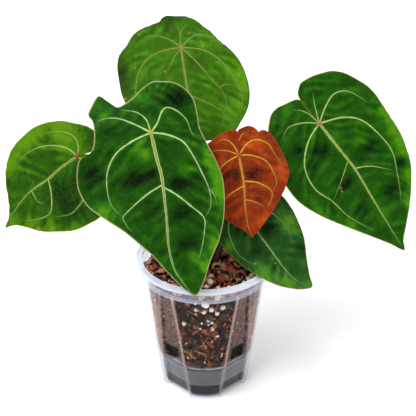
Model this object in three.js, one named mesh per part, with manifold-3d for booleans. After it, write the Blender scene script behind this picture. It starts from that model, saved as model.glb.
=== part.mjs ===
// A potted Anthurium forgetii: six heart-shaped blades on arching stalks that rise from a short
// stem, rooted in a bark and perlite mix that fills a clear lobed pot with a water base.
// Millimetres, +Z up. Pieces are drawn about the pot's axis, with the table at z = 0 and the
// front at -Y. The whole is then shifted so that its origin is the middle of its bottom.

import * as THREE from 'three';
import { mergeVertices } from 'three/addons/utils/BufferGeometryUtils.js';
import Module from 'manifold-3d';

const wasm = await Module();
wasm.setup();

// Driving dimensions

const GAP = 0.3; // clearance between neighbouring pieces

const POT = {
  height: 125,
  lipRadius: 60,
  lipHeight: 3.5,
  lipInnerRadius: 54.3,
  bandRadius: 55.8,
  bandFoot: 110.5, // where the band under the lip ends and the lobed body starts
  shoulderRadius: 52.5, // lobed body, at the top
  footRadius: 39.2, // lobed body, at the table
  wall: 1.2,
  ledge: 32, // the false bottom rests on a step at this height
  ledgeStep: 0.4,
  ledgeWidth: 1.4,
  floor: 3.2,
  footInset: 24, // the feet are rings of floor from here outwards
  footHeight: 2,
  panelRecess: 1.6,
  // Azimuths in degrees from the front, at the table and at the band, of the two edges of the
  // recessed panel between a front lobe and a side lobe.
  frontEdge: [21.5, 34.5],
  sideEdge: [65, 49],
  lobeSteps: 10,
  panelSteps: 3,
};

const WINDOW = { width: 15, height: 17, foot: 34.8, corner: 2.5, azimuth: 43.5 };

const FALSE_BOTTOM = { thickness: 1.5, holeRadius: 2.2, holeRings: [12, 24, 34] };

const WATER_LEVEL = 15.5;

const MIX = {
  edge: 113.4, // height of the surface at the wall
  middle: 116.2,
  chips: 44,
  chipLong: [7, 13],
  chipWide: [4, 7],
  chipThick: [3, 5],
  chipTilt: 0.25,
  chipInner: 22,
  chipOuter: 51,
  seed: 5,
};

const STEM = {
  radius: 7.1,
  foot: 88,
  shoulder: 126,
  budTop: 143,
  roots: [245, 300, 140, 35], // azimuths of the roots that run over the mix
  rootRadius: 1.5,
};

const STALK_FOOT = { height: 121, ring: 10.8, radius: 3.2 };

const BLADE = {
  thickness: 0.8,
  step: 8, // spacing of points along the outline
  rings: [0.2, 0.42, 0.62, 0.82, 1],
};

// Each blade is a height field over a plane through its junction with the stalk. `junction` and
// `tip` lie in the plane, `faces` is a direction on the side that its upper face looks to, and
// the outline's points are [across, along] in that plane, in order from the sinus round the
// right lobe to the tip and back up the left. Droop, back and arch bend the tip, the rear
// lobes and the two sides away from the upper face. Each wave is [height, count, phase] round
// the junction and dies away from the margin inwards, the sooner the more of them there are.
// Each bump is [across, along, width, length, height].
const LEAVES = [
  {
    name: 'front',
    color: 0x155c12,
    junction: [-43, -20, 251],
    tip: [-7, -75, 132],
    faces: [0.05, -0.9, 0.42],
    droop: 0.06, back: 0.15, arch: 0.15,
    waves: [[3, 3, 0.6], [1.6, 8, 0.3]],
    bumps: [[-40, -38, 14, 14, -9]],
    outline: [
      [-21, -27], [-14, -28], [-6, -31], [1, -35], [12, -39], [20, -37], [28, -34], [35, -28],
      [40, -18], [40, -4], [39, 6], [41, 18], [45, 38], [46, 52], [43, 68], [38, 83],
      [30, 98], [19, 112], [8, 129], [0, 137], [-6, 132], [-15, 117], [-25, 97], [-33, 85],
      [-42, 72], [-58, 54], [-66, 43], [-69, 28], [-66, 15], [-61, 6], [-50, 2], [-45, -8],
      [-43, -21], [-45, -27], [-41, -33], [-33, -40], [-27, -33],
    ],
    stalk: { azimuth: 225, girth: 1, route: [[-9.5, -9.5, 136], [-22, -12, 178], [-37, -9, 225]] },
  },
  {
    name: 'back',
    color: 0x3f7a1c,
    junction: [-21, 95, 281],
    tip: [-7, 8, 223],
    faces: [0, -0.35, 0.93],
    droop: 0.1, back: 0.1, arch: 0.12,
    waves: [[3, 4, 1], [1.4, 9, 2]],
    bumps: [],
    outline: [
      [-14, -31], [-11, -34], [-3, -35], [10, -34], [20, -29], [31, -10], [45, 8], [51, 18],
      [54, 27], [55, 44], [50, 64], [40, 80], [34, 88], [27, 92], [18, 94], [9, 95],
      [1, 103], [-6, 113], [-11, 103], [-24, 86], [-39, 71], [-49, 57], [-55, 42], [-57, 24],
      [-57, 10], [-53, -3], [-46, -13], [-41, -21], [-31, -29], [-22, -31], [-17, -29], [-8, -15],
    ],
    stalk: { azimuth: 110, girth: 1, route: [[-5, 14, 136], [-12, 42, 190], [-19, 80, 248]] },
  },
  {
    name: 'left',
    color: 0x3f8f12,
    junction: [-107, 12, 215],
    tip: [-173, 12, 147],
    faces: [-0.25, -0.8, 0.5],
    droop: 0.08, back: 0.1, arch: 0.12,
    waves: [[2.5, 3, 2], [1.2, 8, 0]],
    bumps: [],
    outline: [
      [4, -7], [9, -12], [18, -13], [30, -11], [43, -3], [48, 10], [50, 22], [48, 32],
      [42, 49], [31, 64], [25, 71], [13, 80], [5, 87], [1, 93], [-2, 99], [-6, 90],
      [-13, 83], [-29, 73], [-39, 65], [-46, 57], [-51, 48], [-52, 38], [-51, 26], [-46, 12],
      [-40, 2], [-34, -6], [-25, -14], [-16, -21], [-8, -25], [-3, -26], [0, -23], [1, -17],
      [1, -11], [1, -5],
    ],
    stalk: { azimuth: 165, girth: 0.9, route: [[-14, 4, 134], [-42, 12, 166], [-82, 20, 198]] },
  },
  {
    name: 'right',
    color: 0x1d6b18,
    junction: [97, 32, 236],
    tip: [171, -8, 136],
    faces: [0.12, -0.82, 0.52],
    droop: 0.06, back: 0.1, arch: 0.14,
    waves: [[3, 3, -0.5], [1.4, 9, 1]],
    bumps: [],
    outline: [
      [-1, -7], [-2, -17], [-2, -25], [-1, -30], [2, -34], [6, -37], [12, -37], [19, -36],
      [26, -34], [36, -30], [47, -20], [52, -12], [56, -3], [58, 10], [58, 24], [57, 42],
      [53, 61], [49, 74], [42, 86], [29, 102], [15, 116], [6, 125], [2, 133], [-5, 122],
      [-19, 101], [-32, 82], [-44, 63], [-51, 46], [-53, 30], [-53, 13], [-49, -2], [-44, -13],
      [-39, -20], [-34, -25], [-29, -29], [-22, -31], [-15, -30], [-9, -27], [-6, -23], [-4, -16],
    ],
    stalk: { azimuth: 10, girth: 1, route: [[14, 4, 134], [36, 20, 165], [72, 38, 208]] },
  },
  {
    name: 'young',
    color: 0x96401c,
    junction: [28, -12, 227],
    tip: [40, -28, 160],
    faces: [0.05, -0.92, 0.38],
    droop: 0.06, back: 0.05, arch: 0.1,
    waves: [[2, 4, 0.8], [0.9, 9, 0]],
    bumps: [],
    outline: [
      [0, -4], [1, -11], [2, -18], [3, -21], [7, -22], [12, -22], [16, -20], [18, -18],
      [19, -16], [22, -17], [25, -16], [28, -13], [31, -8], [34, 0], [37, 9], [39, 18],
      [39, 24], [37, 29], [34, 35], [29, 42], [18, 54], [6, 66], [2, 69], [0, 72],
      [-3, 68], [-9, 62], [-20, 52], [-26, 41], [-29, 29], [-31, 16], [-30, 3], [-28, -7],
      [-23, -14], [-18, -16], [-15, -19], [-11, -20], [-7, -20], [-3, -19], [-1, -12],
    ],
    stalk: {
      azimuth: 60, girth: 0.75,
      route: [[6.5, 12, 136], [9, 14, 160], [14, 12, 188], [22, 5, 211]],
    },
  },
  {
    name: 'low',
    color: 0x1b5a2a,
    junction: [28, 0, 175],
    tip: [90, -42, 119],
    faces: [0.1, -0.7, 0.7],
    droop: 0.05, back: 0.1, arch: 0.12,
    waves: [[2.2, 3, 1.2], [1, 8, 1.6]],
    bumps: [[-26, 58, 16, 20, 4]],
    outline: [
      [2, -5], [8, -10], [17, -11], [26, -8], [32, -1], [36, 9], [37, 20], [35, 31],
      [31, 44], [25, 58], [15, 71], [6, 84], [1, 93], [-6, 90], [-15, 81], [-22, 71],
      [-28, 57], [-32, 41], [-33, 26], [-32, 12], [-28, 1], [-21, -8], [-13, -13], [-4, -13],
      [0, -6],
    ],
    stalk: { azimuth: 325, girth: 0.85, route: [[10.8, -6.5, 134], [17, 1, 150], [24, 7, 163]] },
  },
];

// Small helpers

const radians = (degrees) => (degrees * Math.PI) / 180;

const mix = (from, to, share) => from + (to - from) * share;

const vector = ([x, y, z]) => new THREE.Vector3(x, y, z);

// A seeded random source, so that the loose mix falls the same way every time.
function randomSource(seed) {
  let state = seed >>> 0;
  return () => {
    state = (state + 0x6d2b79f5) >>> 0;
    let t = state;
    t = Math.imul(t ^ (t >>> 15), t | 1);
    t ^= t + Math.imul(t ^ (t >>> 7), t | 61);
    return ((t ^ (t >>> 14)) >>> 0) / 4294967296;
  };
}

function meshOf(points, triangles) {
  const geometry = new THREE.BufferGeometry();
  const positions = points.flatMap((p) => [p.x, p.y, p.z]);
  geometry.setAttribute('position', new THREE.Float32BufferAttribute(positions, 3));
  geometry.setIndex(triangles);
  return geometry;
}

// A closed solid from rings with alike numbers of points, its two ends closed by a fan to the
// middle of the end ring. Rings run anticlockwise as seen from where the stack leads to.
function ringSolid(rings) {
  const count = rings[0].length;
  const points = rings.flat();
  const triangles = [];
  for (let level = 0; level + 1 < rings.length; level += 1) {
    for (let i = 0; i < count; i += 1) {
      const a = level * count + i;
      const b = level * count + ((i + 1) % count);
      triangles.push(a, b, b + count, a, b + count, a + count);
    }
  }
  const middle = (ring) =>
    ring.reduce((sum, p) => sum.add(p), new THREE.Vector3()).divideScalar(ring.length);
  const first = points.push(middle(rings[0])) - 1;
  const last = points.push(middle(rings.at(-1))) - 1;
  const top = (rings.length - 1) * count;
  for (let i = 0; i < count; i += 1) {
    const next = (i + 1) % count;
    triangles.push(first, next, i, last, top + i, top + next);
  }
  return meshOf(points, triangles);
}

// A round rod along a curve, with a radius that changes along it.
function rod(curve, radiusAt, steps, sides) {
  const frames = curve.computeFrenetFrames(steps, false);
  const rings = [];
  for (let step = 0; step <= steps; step += 1) {
    const centre = curve.getPointAt(step / steps);
    const radius = radiusAt(step / steps);
    const ring = [];
    for (let i = 0; i < sides; i += 1) {
      const turn = (2 * Math.PI * i) / sides;
      const point = centre.clone();
      point.addScaledVector(frames.normals[step], radius * Math.cos(turn));
      point.addScaledVector(frames.binormals[step], radius * Math.sin(turn));
      ring.push(point);
    }
    rings.push(ring);
  }
  return ringSolid(rings);
}

function solidOf(geometry) {
  const bare = geometry.clone();
  bare.deleteAttribute('normal');
  bare.deleteAttribute('uv');
  const merged = mergeVertices(bare, 1e-4);
  return new wasm.Manifold(
    new wasm.Mesh({
      numProp: 3,
      vertProperties: new Float32Array(merged.attributes.position.array),
      triVerts: new Uint32Array(merged.index.array),
    }),
  );
}

// The largest body of a joined or cut solid, without any loose scrap.
function geometryOf(solid) {
  const bodies = solid.decompose().sort((a, b) => b.volume() - a.volume());
  const cut = bodies[0].getMesh();
  const geometry = new THREE.BufferGeometry();
  geometry.setAttribute('position', new THREE.Float32BufferAttribute(cut.vertProperties, 3));
  geometry.setIndex(Array.from(cut.triVerts));
  return geometry;
}

// Pot

// The outline round the pot at one height: the arc of each lobe, then the flat panel that is
// set back between it and the next lobe. Slack narrows the lobes, for what stands inside.
function potOutline(height, radius, slack = 0) {
  const share = height / POT.bandFoot;
  const margin = slack / radius;
  const front = radians(mix(POT.frontEdge[0], POT.frontEdge[1], share)) - margin;
  const side = radians(mix(POT.sideEdge[0], POT.sideEdge[1], share)) + margin;
  const outline = [];
  for (let lobe = 0; lobe < 4; lobe += 1) {
    const middle = (lobe * Math.PI) / 2 - Math.PI / 2;
    const isSide = lobe % 2 === 1;
    const half = isSide ? Math.PI / 2 - side : front;
    const nextHalf = isSide ? front : Math.PI / 2 - side;
    for (let i = 0; i <= POT.lobeSteps; i += 1) {
      const turn = middle - half + (2 * half * i) / POT.lobeSteps;
      outline.push(new THREE.Vector2(radius * Math.cos(turn), radius * Math.sin(turn)));
    }
    const start = middle + half;
    const end = middle + Math.PI / 2 - nextHalf;
    const from = new THREE.Vector2(Math.cos(start), Math.sin(start)).multiplyScalar(radius);
    const to = new THREE.Vector2(Math.cos(end), Math.sin(end)).multiplyScalar(radius);
    const inward = from.clone().add(to).normalize().multiplyScalar(-POT.panelRecess);
    for (let i = 0; i <= POT.panelSteps; i += 1) {
      const along = mix(0.04, 0.96, i / POT.panelSteps);
      outline.push(from.clone().lerp(to, along).add(inward));
    }
  }
  return outline;
}

const isPanelPoint = (index) =>
  index % (POT.lobeSteps + POT.panelSteps + 2) > POT.lobeSteps;

const bodyRadius = (height) =>
  mix(POT.footRadius, POT.shoulderRadius, height / POT.bandFoot);

function lobedRing(height, inset, level = () => height, slack = 0) {
  const radius = bodyRadius(height);
  return potOutline(height, radius, slack).map((point, index) => {
    const scale = 1 - inset / radius;
    return new THREE.Vector3(point.x * scale, point.y * scale, level(index));
  });
}

// A round ring whose points keep the azimuths of the lobed ring at a height.
function roundRing(radius, height, azimuthsAt = POT.bandFoot, level = () => height) {
  return potOutline(azimuthsAt, POT.shoulderRadius).map((point, index) => {
    const flat = point.clone().setLength(radius);
    return new THREE.Vector3(flat.x, flat.y, level(index));
  });
}

const LOWER_INSET = POT.wall + POT.ledgeWidth; // from the lobed body to the base's inner wall

function potGeometry() {
  const foot = (index) => (isPanelPoint(index) ? POT.footHeight : 0);
  const lip = POT.height - POT.lipHeight;
  const rings = [
    roundRing(POT.footInset - 0.6, POT.footHeight, 0),
    roundRing(POT.footInset, 0, 0, (index) => (isPanelPoint(index) ? POT.footHeight + 0.01 : 0)),
    lobedRing(0, POT.ledgeStep + 1, foot),
    lobedRing(1, POT.ledgeStep, (index) => foot(index) + 1),
    lobedRing(POT.ledge, POT.ledgeStep),
    lobedRing(POT.ledge + 0.8, 0),
    lobedRing(POT.bandFoot, 0),
    roundRing(POT.bandRadius, POT.bandFoot + 0.2),
    roundRing(POT.bandRadius, lip),
    roundRing(POT.lipRadius - 0.6, lip),
    roundRing(POT.lipRadius, lip + 0.7),
    roundRing(POT.lipRadius, POT.height - 0.9),
    roundRing(POT.lipRadius - 0.9, POT.height),
    roundRing(POT.lipInnerRadius + 0.7, POT.height),
    roundRing(POT.lipInnerRadius, POT.height - 0.7),
    roundRing(POT.lipInnerRadius, POT.bandFoot + 2),
    lobedRing(POT.bandFoot, POT.wall, () => POT.bandFoot + 1.2),
    lobedRing(POT.ledge, POT.wall, () => POT.ledge + 1),
    lobedRing(POT.ledge, LOWER_INSET, () => POT.ledge + 0.9),
    lobedRing(0, LOWER_INSET, () => POT.floor),
  ];
  const body = solidOf(ringSolid(rings));
  return geometryOf(windowPunches().reduce((pot, punch) => pot.subtract(punch), body));
}

// Rounded openings near the foot of each set-back panel.
function windowPunches() {
  const { width, height, foot, corner, azimuth } = WINDOW;
  const shape = new THREE.Shape();
  const half = width / 2;
  shape.moveTo(-half + corner, 0);
  shape.lineTo(half - corner, 0);
  shape.quadraticCurveTo(half, 0, half, corner);
  shape.lineTo(half, height - corner);
  shape.quadraticCurveTo(half, height, half - corner, height);
  shape.lineTo(-half + corner, height);
  shape.quadraticCurveTo(-half, height, -half, height - corner);
  shape.lineTo(-half, corner);
  shape.quadraticCurveTo(-half, 0, -half + corner, 0);
  return [azimuth, -azimuth, 180 - azimuth, 180 + azimuth].map((fromFront) => {
    const punch = new THREE.ExtrudeGeometry(shape, {
      depth: POT.shoulderRadius, bevelEnabled: false, curveSegments: 3,
    });
    punch.rotateX(Math.PI / 2);
    punch.translate(0, -POT.footInset, foot);
    punch.rotateZ(radians(fromFront));
    return solidOf(punch);
  });
}

// Water, false bottom and mix, each a fraction of a millimetre clear of the pot

const SLACK = 1.2; // how much narrower than the pot's lobes the lobes of its filling are

function waterGeometry() {
  const inset = LOWER_INSET + GAP;
  const share = (WATER_LEVEL - POT.floor) / (POT.ledge - POT.floor);
  return ringSolid([
    lobedRing(0, inset, () => POT.floor + GAP, SLACK),
    lobedRing(share * POT.ledge, inset + GAP, () => WATER_LEVEL, SLACK),
  ]);
}

function falseBottomGeometry() {
  const rim = lobedRing(POT.ledge, POT.wall + GAP, undefined, SLACK);
  const shape = new THREE.Shape(rim.map((point) => new THREE.Vector2(point.x, point.y)));
  FALSE_BOTTOM.holeRings.forEach((ring) => {
    const count = Math.round(ring / 3);
    for (let i = 0; i < count; i += 1) {
      const turn = (2 * Math.PI * i) / count + ring;
      const hole = new THREE.Path();
      hole.absarc(
        ring * Math.cos(turn), ring * Math.sin(turn), FALSE_BOTTOM.holeRadius, 0, 2 * Math.PI,
      );
      shape.holes.push(hole);
    }
  });
  const plate = new THREE.ExtrudeGeometry(shape, {
    depth: FALSE_BOTTOM.thickness, bevelEnabled: false, curveSegments: 2,
  });
  plate.translate(0, 0, POT.ledge + 1 + GAP);
  return plate;
}

const mixHeight = (radius) =>
  mix(MIX.middle, MIX.edge, (radius / POT.lipInnerRadius) ** 2);

// Bark chips lie over the surface in a sunflower pattern, each turned its own way and sunk by
// about half.
function barkChips() {
  const random = randomSource(MIX.seed);
  const chips = [];
  for (let i = 0; i < MIX.chips; i += 1) {
    const long = mix(...MIX.chipLong, random());
    const wide = mix(...MIX.chipWide, random());
    const thick = mix(...MIX.chipThick, random());
    const share = (i + 0.5) / MIX.chips;
    const radius = Math.sqrt(mix(MIX.chipInner ** 2, MIX.chipOuter ** 2, share));
    const turn = i * radians(137.5);
    const chip = new THREE.BoxGeometry(long, wide, thick);
    chip.rotateX(mix(-MIX.chipTilt, MIX.chipTilt, random()));
    chip.rotateY(mix(-MIX.chipTilt, MIX.chipTilt, random()));
    chip.rotateZ(mix(0, Math.PI, random()));
    const height = mixHeight(radius) + mix(-0.6, 0.9, random());
    chip.translate(radius * Math.cos(turn), radius * Math.sin(turn), height);
    chips.push(solidOf(chip));
  }
  return chips;
}

function pottingMixGeometry() {
  const random = randomSource(MIX.seed + 1);
  const foot = POT.ledge + 1 + GAP + FALSE_BOTTOM.thickness + GAP;
  const wallInset = POT.wall + GAP;
  const top = [0.93, 0.78, 0.62, 0.46, 0.3].map((share) =>
    roundRing(
      share * POT.lipInnerRadius, 0, POT.bandFoot,
      () => mixHeight(share * POT.lipInnerRadius) + mix(-0.7, 0.7, random()),
    ),
  );
  const wallRings = [
    lobedRing(POT.ledge, wallInset, () => foot, SLACK),
    lobedRing(POT.bandFoot, wallInset, () => POT.bandFoot + 1.6, SLACK),
    roundRing(POT.lipInnerRadius - GAP, POT.bandFoot + 2.8),
  ];
  const cavity = solidOf(
    ringSolid([...wallRings, roundRing(POT.lipInnerRadius - GAP, POT.height)]),
  );
  let solid = solidOf(ringSolid([...wallRings, ...top]));
  barkChips().forEach((chip) => {
    solid = solid.add(chip);
  });
  solid = solid.intersect(cavity);
  const hole = new THREE.CylinderGeometry(
    STEM.radius + 2 * GAP, STEM.radius + 2 * GAP, MIX.middle - STEM.foot + 20, 16,
  );
  hole.rotateX(Math.PI / 2);
  hole.translate(0, 0, (MIX.middle + 20 + STEM.foot) / 2 - GAP);
  solid = solid.subtract(solidOf(hole));
  STEM.roots.forEach((azimuth) => {
    solid = solid.subtract(solidOf(rootGeometry(azimuth, 2 * GAP)));
  });
  return geometryOf(solid);
}

// Stem and roots

function rootGeometry(azimuth, clearance) {
  const outward = new THREE.Vector3(Math.cos(radians(azimuth)), Math.sin(radians(azimuth)), 0);
  const route = [[3, 118.4], [12, 118.4], [22, 118.6], [29, 115], [33, 107]];
  const curve = new THREE.CatmullRomCurve3(
    route.map(([out, height]) => outward.clone().multiplyScalar(out).setZ(height)),
  );
  return rod(curve, (t) => STEM.rootRadius * mix(1, 0.75, t) + clearance, 8, 6);
}

function stemGeometry() {
  const { radius, foot, shoulder, budTop } = STEM;
  const profile = [
    [0, foot + GAP], [0.8 * radius, foot + GAP], [radius, foot + 4], [radius, 112],
    [0.93 * radius, 113], [radius, 114], [radius, 119], [0.93 * radius, 120], [radius, 121],
    [radius, shoulder], [0.55 * radius, shoulder + 2], [0.42 * radius, shoulder + 7],
    [0.2 * radius, budTop - 3], [0, budTop],
  ];
  const core = new THREE.LatheGeometry(profile.map(([r, z]) => new THREE.Vector2(r, z)), 16);
  core.rotateX(Math.PI / 2);
  let solid = solidOf(core);
  STEM.roots.forEach((azimuth) => {
    solid = solid.add(solidOf(rootGeometry(azimuth, 0)));
  });
  return geometryOf(solid);
}

// A papery sheath: a pointed strip that is curved round the stem and leans out at its tip.
function sheathGeometry({ azimuth, foot, height, halfWidth, radius, lean }) {
  const rows = 8;
  const columns = 4;
  const thickness = 0.7;
  const point = (row, column, offset) => {
    const up = row / rows;
    const half = halfWidth * (0.65 + 1.5 * up - 2 * up * up);
    const across = mix(-1, 1, column / columns) * Math.max(half, 0.5);
    const out = radius + lean * up * up + offset;
    const turn = radians(azimuth) + across / (radius + 1);
    return new THREE.Vector3(out * Math.cos(turn), out * Math.sin(turn), foot + height * up);
  };
  const rings = [];
  for (let row = 0; row <= rows; row += 1) {
    const outside = [];
    const inside = [];
    for (let column = 0; column <= columns; column += 1) {
      outside.push(point(row, column, thickness));
      inside.unshift(point(row, column, 0));
    }
    rings.push([...outside, ...inside]);
  }
  return ringSolid(rings);
}

// Blades and stalks

// The blade's own directions: up its midrib to the tip, across it, and out of its upper face.
function bladeFrame(leaf) {
  const junction = vector(leaf.junction);
  const along = vector(leaf.tip).sub(junction);
  const length = along.length();
  along.normalize();
  const out = vector(leaf.faces);
  out.addScaledVector(along, -out.dot(along)).normalize();
  const across = new THREE.Vector3().crossVectors(out, along);
  return { junction, along, across, out, length };
}

function bladeHeight(leaf, length, across, along, share) {
  const far = along / length;
  let height = -leaf.droop * length * Math.max(far, 0) ** 2;
  height -= leaf.back * length * Math.max(-far, 0) ** 1.5;
  height -= 2 * leaf.arch * length * (across / length) ** 2;
  const turn = Math.atan2(across, along);
  const reach = (across / length) ** 2 + (along / length) ** 2;
  leaf.waves.forEach(([size, count, phase]) => {
    const fade = (share ** (count / 2) * reach) / (reach + 0.02);
    height += size * fade * Math.sin(count * turn + phase);
  });
  leaf.bumps.forEach(([middleAcross, middleAlong, width, depth, size]) => {
    const a = (across - middleAcross) / width;
    const b = (along - middleAlong) / depth;
    height += size * Math.exp(-a * a - b * b);
  });
  return height;
}

function bladeOutline(leaf) {
  const curve = new THREE.CatmullRomCurve3(
    leaf.outline.map(([across, along]) => new THREE.Vector3(across, along, 0)),
    true,
    'centripetal',
  );
  const count = leaf.outline.length;
  const outline = [];
  for (let i = 0; i < count; i += 1) {
    const [a, b] = leaf.outline[i];
    const [c, d] = leaf.outline[(i + 1) % count];
    const pieces = Math.max(1, Math.round(Math.hypot(c - a, d - b) / BLADE.step));
    for (let j = 0; j < pieces; j += 1) {
      outline.push(curve.getPoint((i + j / pieces) / count));
    }
  }
  return outline;
}

// A fan of rings about the junction, with an under face that repeats the upper one.
function bladeGeometry(leaf) {
  const { junction, along, across, out, length } = bladeFrame(leaf);
  const outline = bladeOutline(leaf);
  const count = outline.length;
  const place = (point, share, drop) => {
    const a = share * point.x;
    const b = share * point.y;
    return junction.clone()
      .addScaledVector(across, a)
      .addScaledVector(along, b)
      .addScaledVector(out, bladeHeight(leaf, length, a, b, share) - drop);
  };
  const face = (drop) => [
    place(outline[0], 0, drop),
    ...BLADE.rings.flatMap((share) => outline.map((point) => place(point, share, drop))),
  ];
  const points = [...face(0), ...face(BLADE.thickness)];
  const under = points.length / 2;
  const rim = 1 + (BLADE.rings.length - 1) * count;
  const triangles = [];
  const bothFaces = (a, b, c) => triangles.push(a, b, c, under + a, under + c, under + b);
  for (let i = 0; i < count; i += 1) {
    const next = (i + 1) % count;
    bothFaces(0, 1 + next, 1 + i);
    for (let ring = 0; ring + 1 < BLADE.rings.length; ring += 1) {
      const inner = 1 + ring * count;
      const outer = inner + count;
      bothFaces(inner + i, inner + next, outer + next);
      bothFaces(inner + i, outer + next, outer + i);
    }
    const a = rim + i;
    const b = rim + next;
    triangles.push(a, b, under + b, a, under + b, under + a);
  }
  return meshOf(points, triangles);
}

// The stalk is thick at its sheathing foot, slender for most of its length and swollen again
// where it bends to meet the back of its blade.
function stalkGeometry(leaf) {
  const { junction, out } = bladeFrame(leaf);
  const { azimuth, girth, route } = leaf.stalk;
  const turn = radians(azimuth);
  const behind = (distance) => junction.clone().addScaledVector(out, -distance);
  const curve = new THREE.CatmullRomCurve3(
    [
      new THREE.Vector3(
        STALK_FOOT.ring * Math.cos(turn), STALK_FOOT.ring * Math.sin(turn), STALK_FOOT.height,
      ),
      ...route.map(vector),
      behind(9 * girth),
      behind(BLADE.thickness + GAP + 0.05),
    ],
    false,
    'centripetal',
  );
  const radiusAt = (t) => {
    const foot = (STALK_FOOT.radius - 1.9 * girth) * Math.exp(-((t / 0.13) ** 2));
    const bend = 0.45 * Math.exp(-(((1 - t) / 0.08) ** 2));
    return 1.9 * girth + foot + bend;
  };
  return rod(curve, radiusAt, 16, 8);
}

// Assembly

const plant = new THREE.Group();

function addPiece(name, geometry, look) {
  const piece = new THREE.Mesh(geometry, new THREE.MeshStandardMaterial(look));
  piece.name = name;
  plant.add(piece);
}

addPiece('pot', potGeometry(), {
  color: 0xdfe6f5, roughness: 0.25, metalness: 0, transparent: true, opacity: 0.35,
});
addPiece('water', waterGeometry(), {
  color: 0x3c3b36, roughness: 0.08, metalness: 0, transparent: true, opacity: 0.8,
});
addPiece('false_bottom', falseBottomGeometry(), { color: 0x9aa0a4, roughness: 0.4, metalness: 0 });
addPiece('potting_mix', pottingMixGeometry(), { color: 0x4a2a1c, roughness: 0.95, metalness: 0 });
addPiece('stem', stemGeometry(), { color: 0x6b5a2e, roughness: 0.8, metalness: 0 });
addPiece(
  'cataphyll_outer',
  sheathGeometry({ azimuth: 273, foot: 120.6, height: 32, halfWidth: 4.6, radius: 7.6, lean: 6 }),
  { color: 0x7a4424, roughness: 0.8, metalness: 0 },
);
addPiece(
  'cataphyll_inner',
  sheathGeometry({ azimuth: 85, foot: 128.6, height: 24, halfWidth: 3.6, radius: 4.4, lean: 1.5 }),
  { color: 0x7a4424, roughness: 0.8, metalness: 0 },
);
LEAVES.forEach((leaf) => {
  addPiece(`petiole_${leaf.name}`, stalkGeometry(leaf), {
    color: 0x6f9a3c, roughness: 0.55, metalness: 0,
  });
  addPiece(`blade_${leaf.name}`, bladeGeometry(leaf), {
    color: leaf.color, roughness: 0.5, metalness: 0,
  });
});

const extent = new THREE.Box3().setFromObject(plant, true);
const centre = extent.getCenter(new THREE.Vector3());
plant.position.set(-centre.x, -centre.y, -extent.min.z);

export default plant;
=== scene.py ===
"""A potted Anthurium forgetii, with its leaf tissue, bark mix and clear pot dressed for looking at.

Shapes are worked out in millimetres about the pot's axis, with the table at z = 0 and the front at
-Y, and go into the scene in metres.
"""

import logging
import math
from dataclasses import dataclass, field
from enum import Enum
from typing import Any, Sequence

import bpy
import numpy as np
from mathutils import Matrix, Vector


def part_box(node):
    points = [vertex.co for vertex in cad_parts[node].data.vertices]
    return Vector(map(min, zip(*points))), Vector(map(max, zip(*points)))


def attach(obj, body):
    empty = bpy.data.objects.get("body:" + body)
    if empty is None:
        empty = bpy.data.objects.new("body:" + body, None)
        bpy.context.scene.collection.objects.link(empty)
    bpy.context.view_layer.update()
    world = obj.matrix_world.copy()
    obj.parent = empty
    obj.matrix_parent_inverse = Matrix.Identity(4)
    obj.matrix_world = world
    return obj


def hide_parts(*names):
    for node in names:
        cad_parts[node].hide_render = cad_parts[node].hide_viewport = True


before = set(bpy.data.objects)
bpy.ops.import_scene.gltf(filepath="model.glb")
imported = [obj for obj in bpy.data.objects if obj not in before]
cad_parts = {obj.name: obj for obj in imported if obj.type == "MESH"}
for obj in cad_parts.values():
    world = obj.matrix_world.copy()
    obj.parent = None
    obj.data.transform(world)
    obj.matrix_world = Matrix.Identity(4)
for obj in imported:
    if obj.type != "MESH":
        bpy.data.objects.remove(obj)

Array = np.ndarray
Rows = tuple[tuple[float, ...], ...]
LOG = logging.getLogger("anthurium")
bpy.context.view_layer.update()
POT_LOW, POT_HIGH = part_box("pot")
POT_AXIS = np.array([(POT_LOW.x + POT_HIGH.x) / 2, (POT_LOW.y + POT_HIGH.y) / 2, 0.0])

METRE = 1000  # in mm, so METRE / 13 is the scale of a pattern whose cells are 13 mm across
UP = (0.0, 0.0, 1.0)


# Shapes


@dataclass
class Shape:
    """A surface in millimetres: its points, its faces, and the values that each point carries."""

    points: Array
    faces: list[Array]
    values: dict[str, Array] = field(default_factory=dict)


def joined(shapes: Sequence[Shape]) -> Shape:
    """Several shapes as one.

    Args:
        shapes: the shapes, all carrying values of the same names.

    Returns:
        One shape, its faces counted on from shape to shape.
    """
    starts = np.cumsum([0] + [len(shape.points) for shape in shapes])
    faces = [face + start for shape, start in zip(shapes, starts) for face in shape.faces]
    values = {
        name: np.concatenate([shape.values[name] for shape in shapes])
        for name in shapes[0].values
    }
    return Shape(np.concatenate([shape.points for shape in shapes]), faces, values)


def skin(rings: Array, values: dict[str, Array] | None = None) -> Shape:
    """A closed skin over a stack of rings.

    The skin is a grid of rows (rings) and columns (points round a ring). Each end ring is closed
    by a fan to the mean of its points. Rings run anticlockwise as seen from where the stack leads.

    Args:
        rings: points, shaped (rings, points round a ring, 3).
        values: what each point carries, each shaped (rings, points round a ring).

    Returns:
        The skin.
    """
    rows, columns, _ = rings.shape
    row, column = np.mgrid[0 : rows - 1, 0:columns]
    here = row * columns + column
    beside = row * columns + (column + 1) % columns
    quads = np.stack([here, beside, beside + columns, here + columns], -1).reshape(-1, 4)
    first = rows * columns
    start = np.arange(columns)
    after = (start + 1) % columns
    top = (rows - 1) * columns
    low = np.stack([np.full(columns, first), after, start], -1)
    high = np.stack([np.full(columns, first + 1), top + start, top + after], -1)
    points = np.vstack([rings.reshape(-1, 3), rings[0].mean(0), rings[-1].mean(0)])
    carried = {
        name: np.concatenate([value.ravel(), [value[0].mean(), value[-1].mean()]])
        for name, value in (values or {}).items()
    }
    return Shape(points, [quads, low, high], carried)


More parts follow.
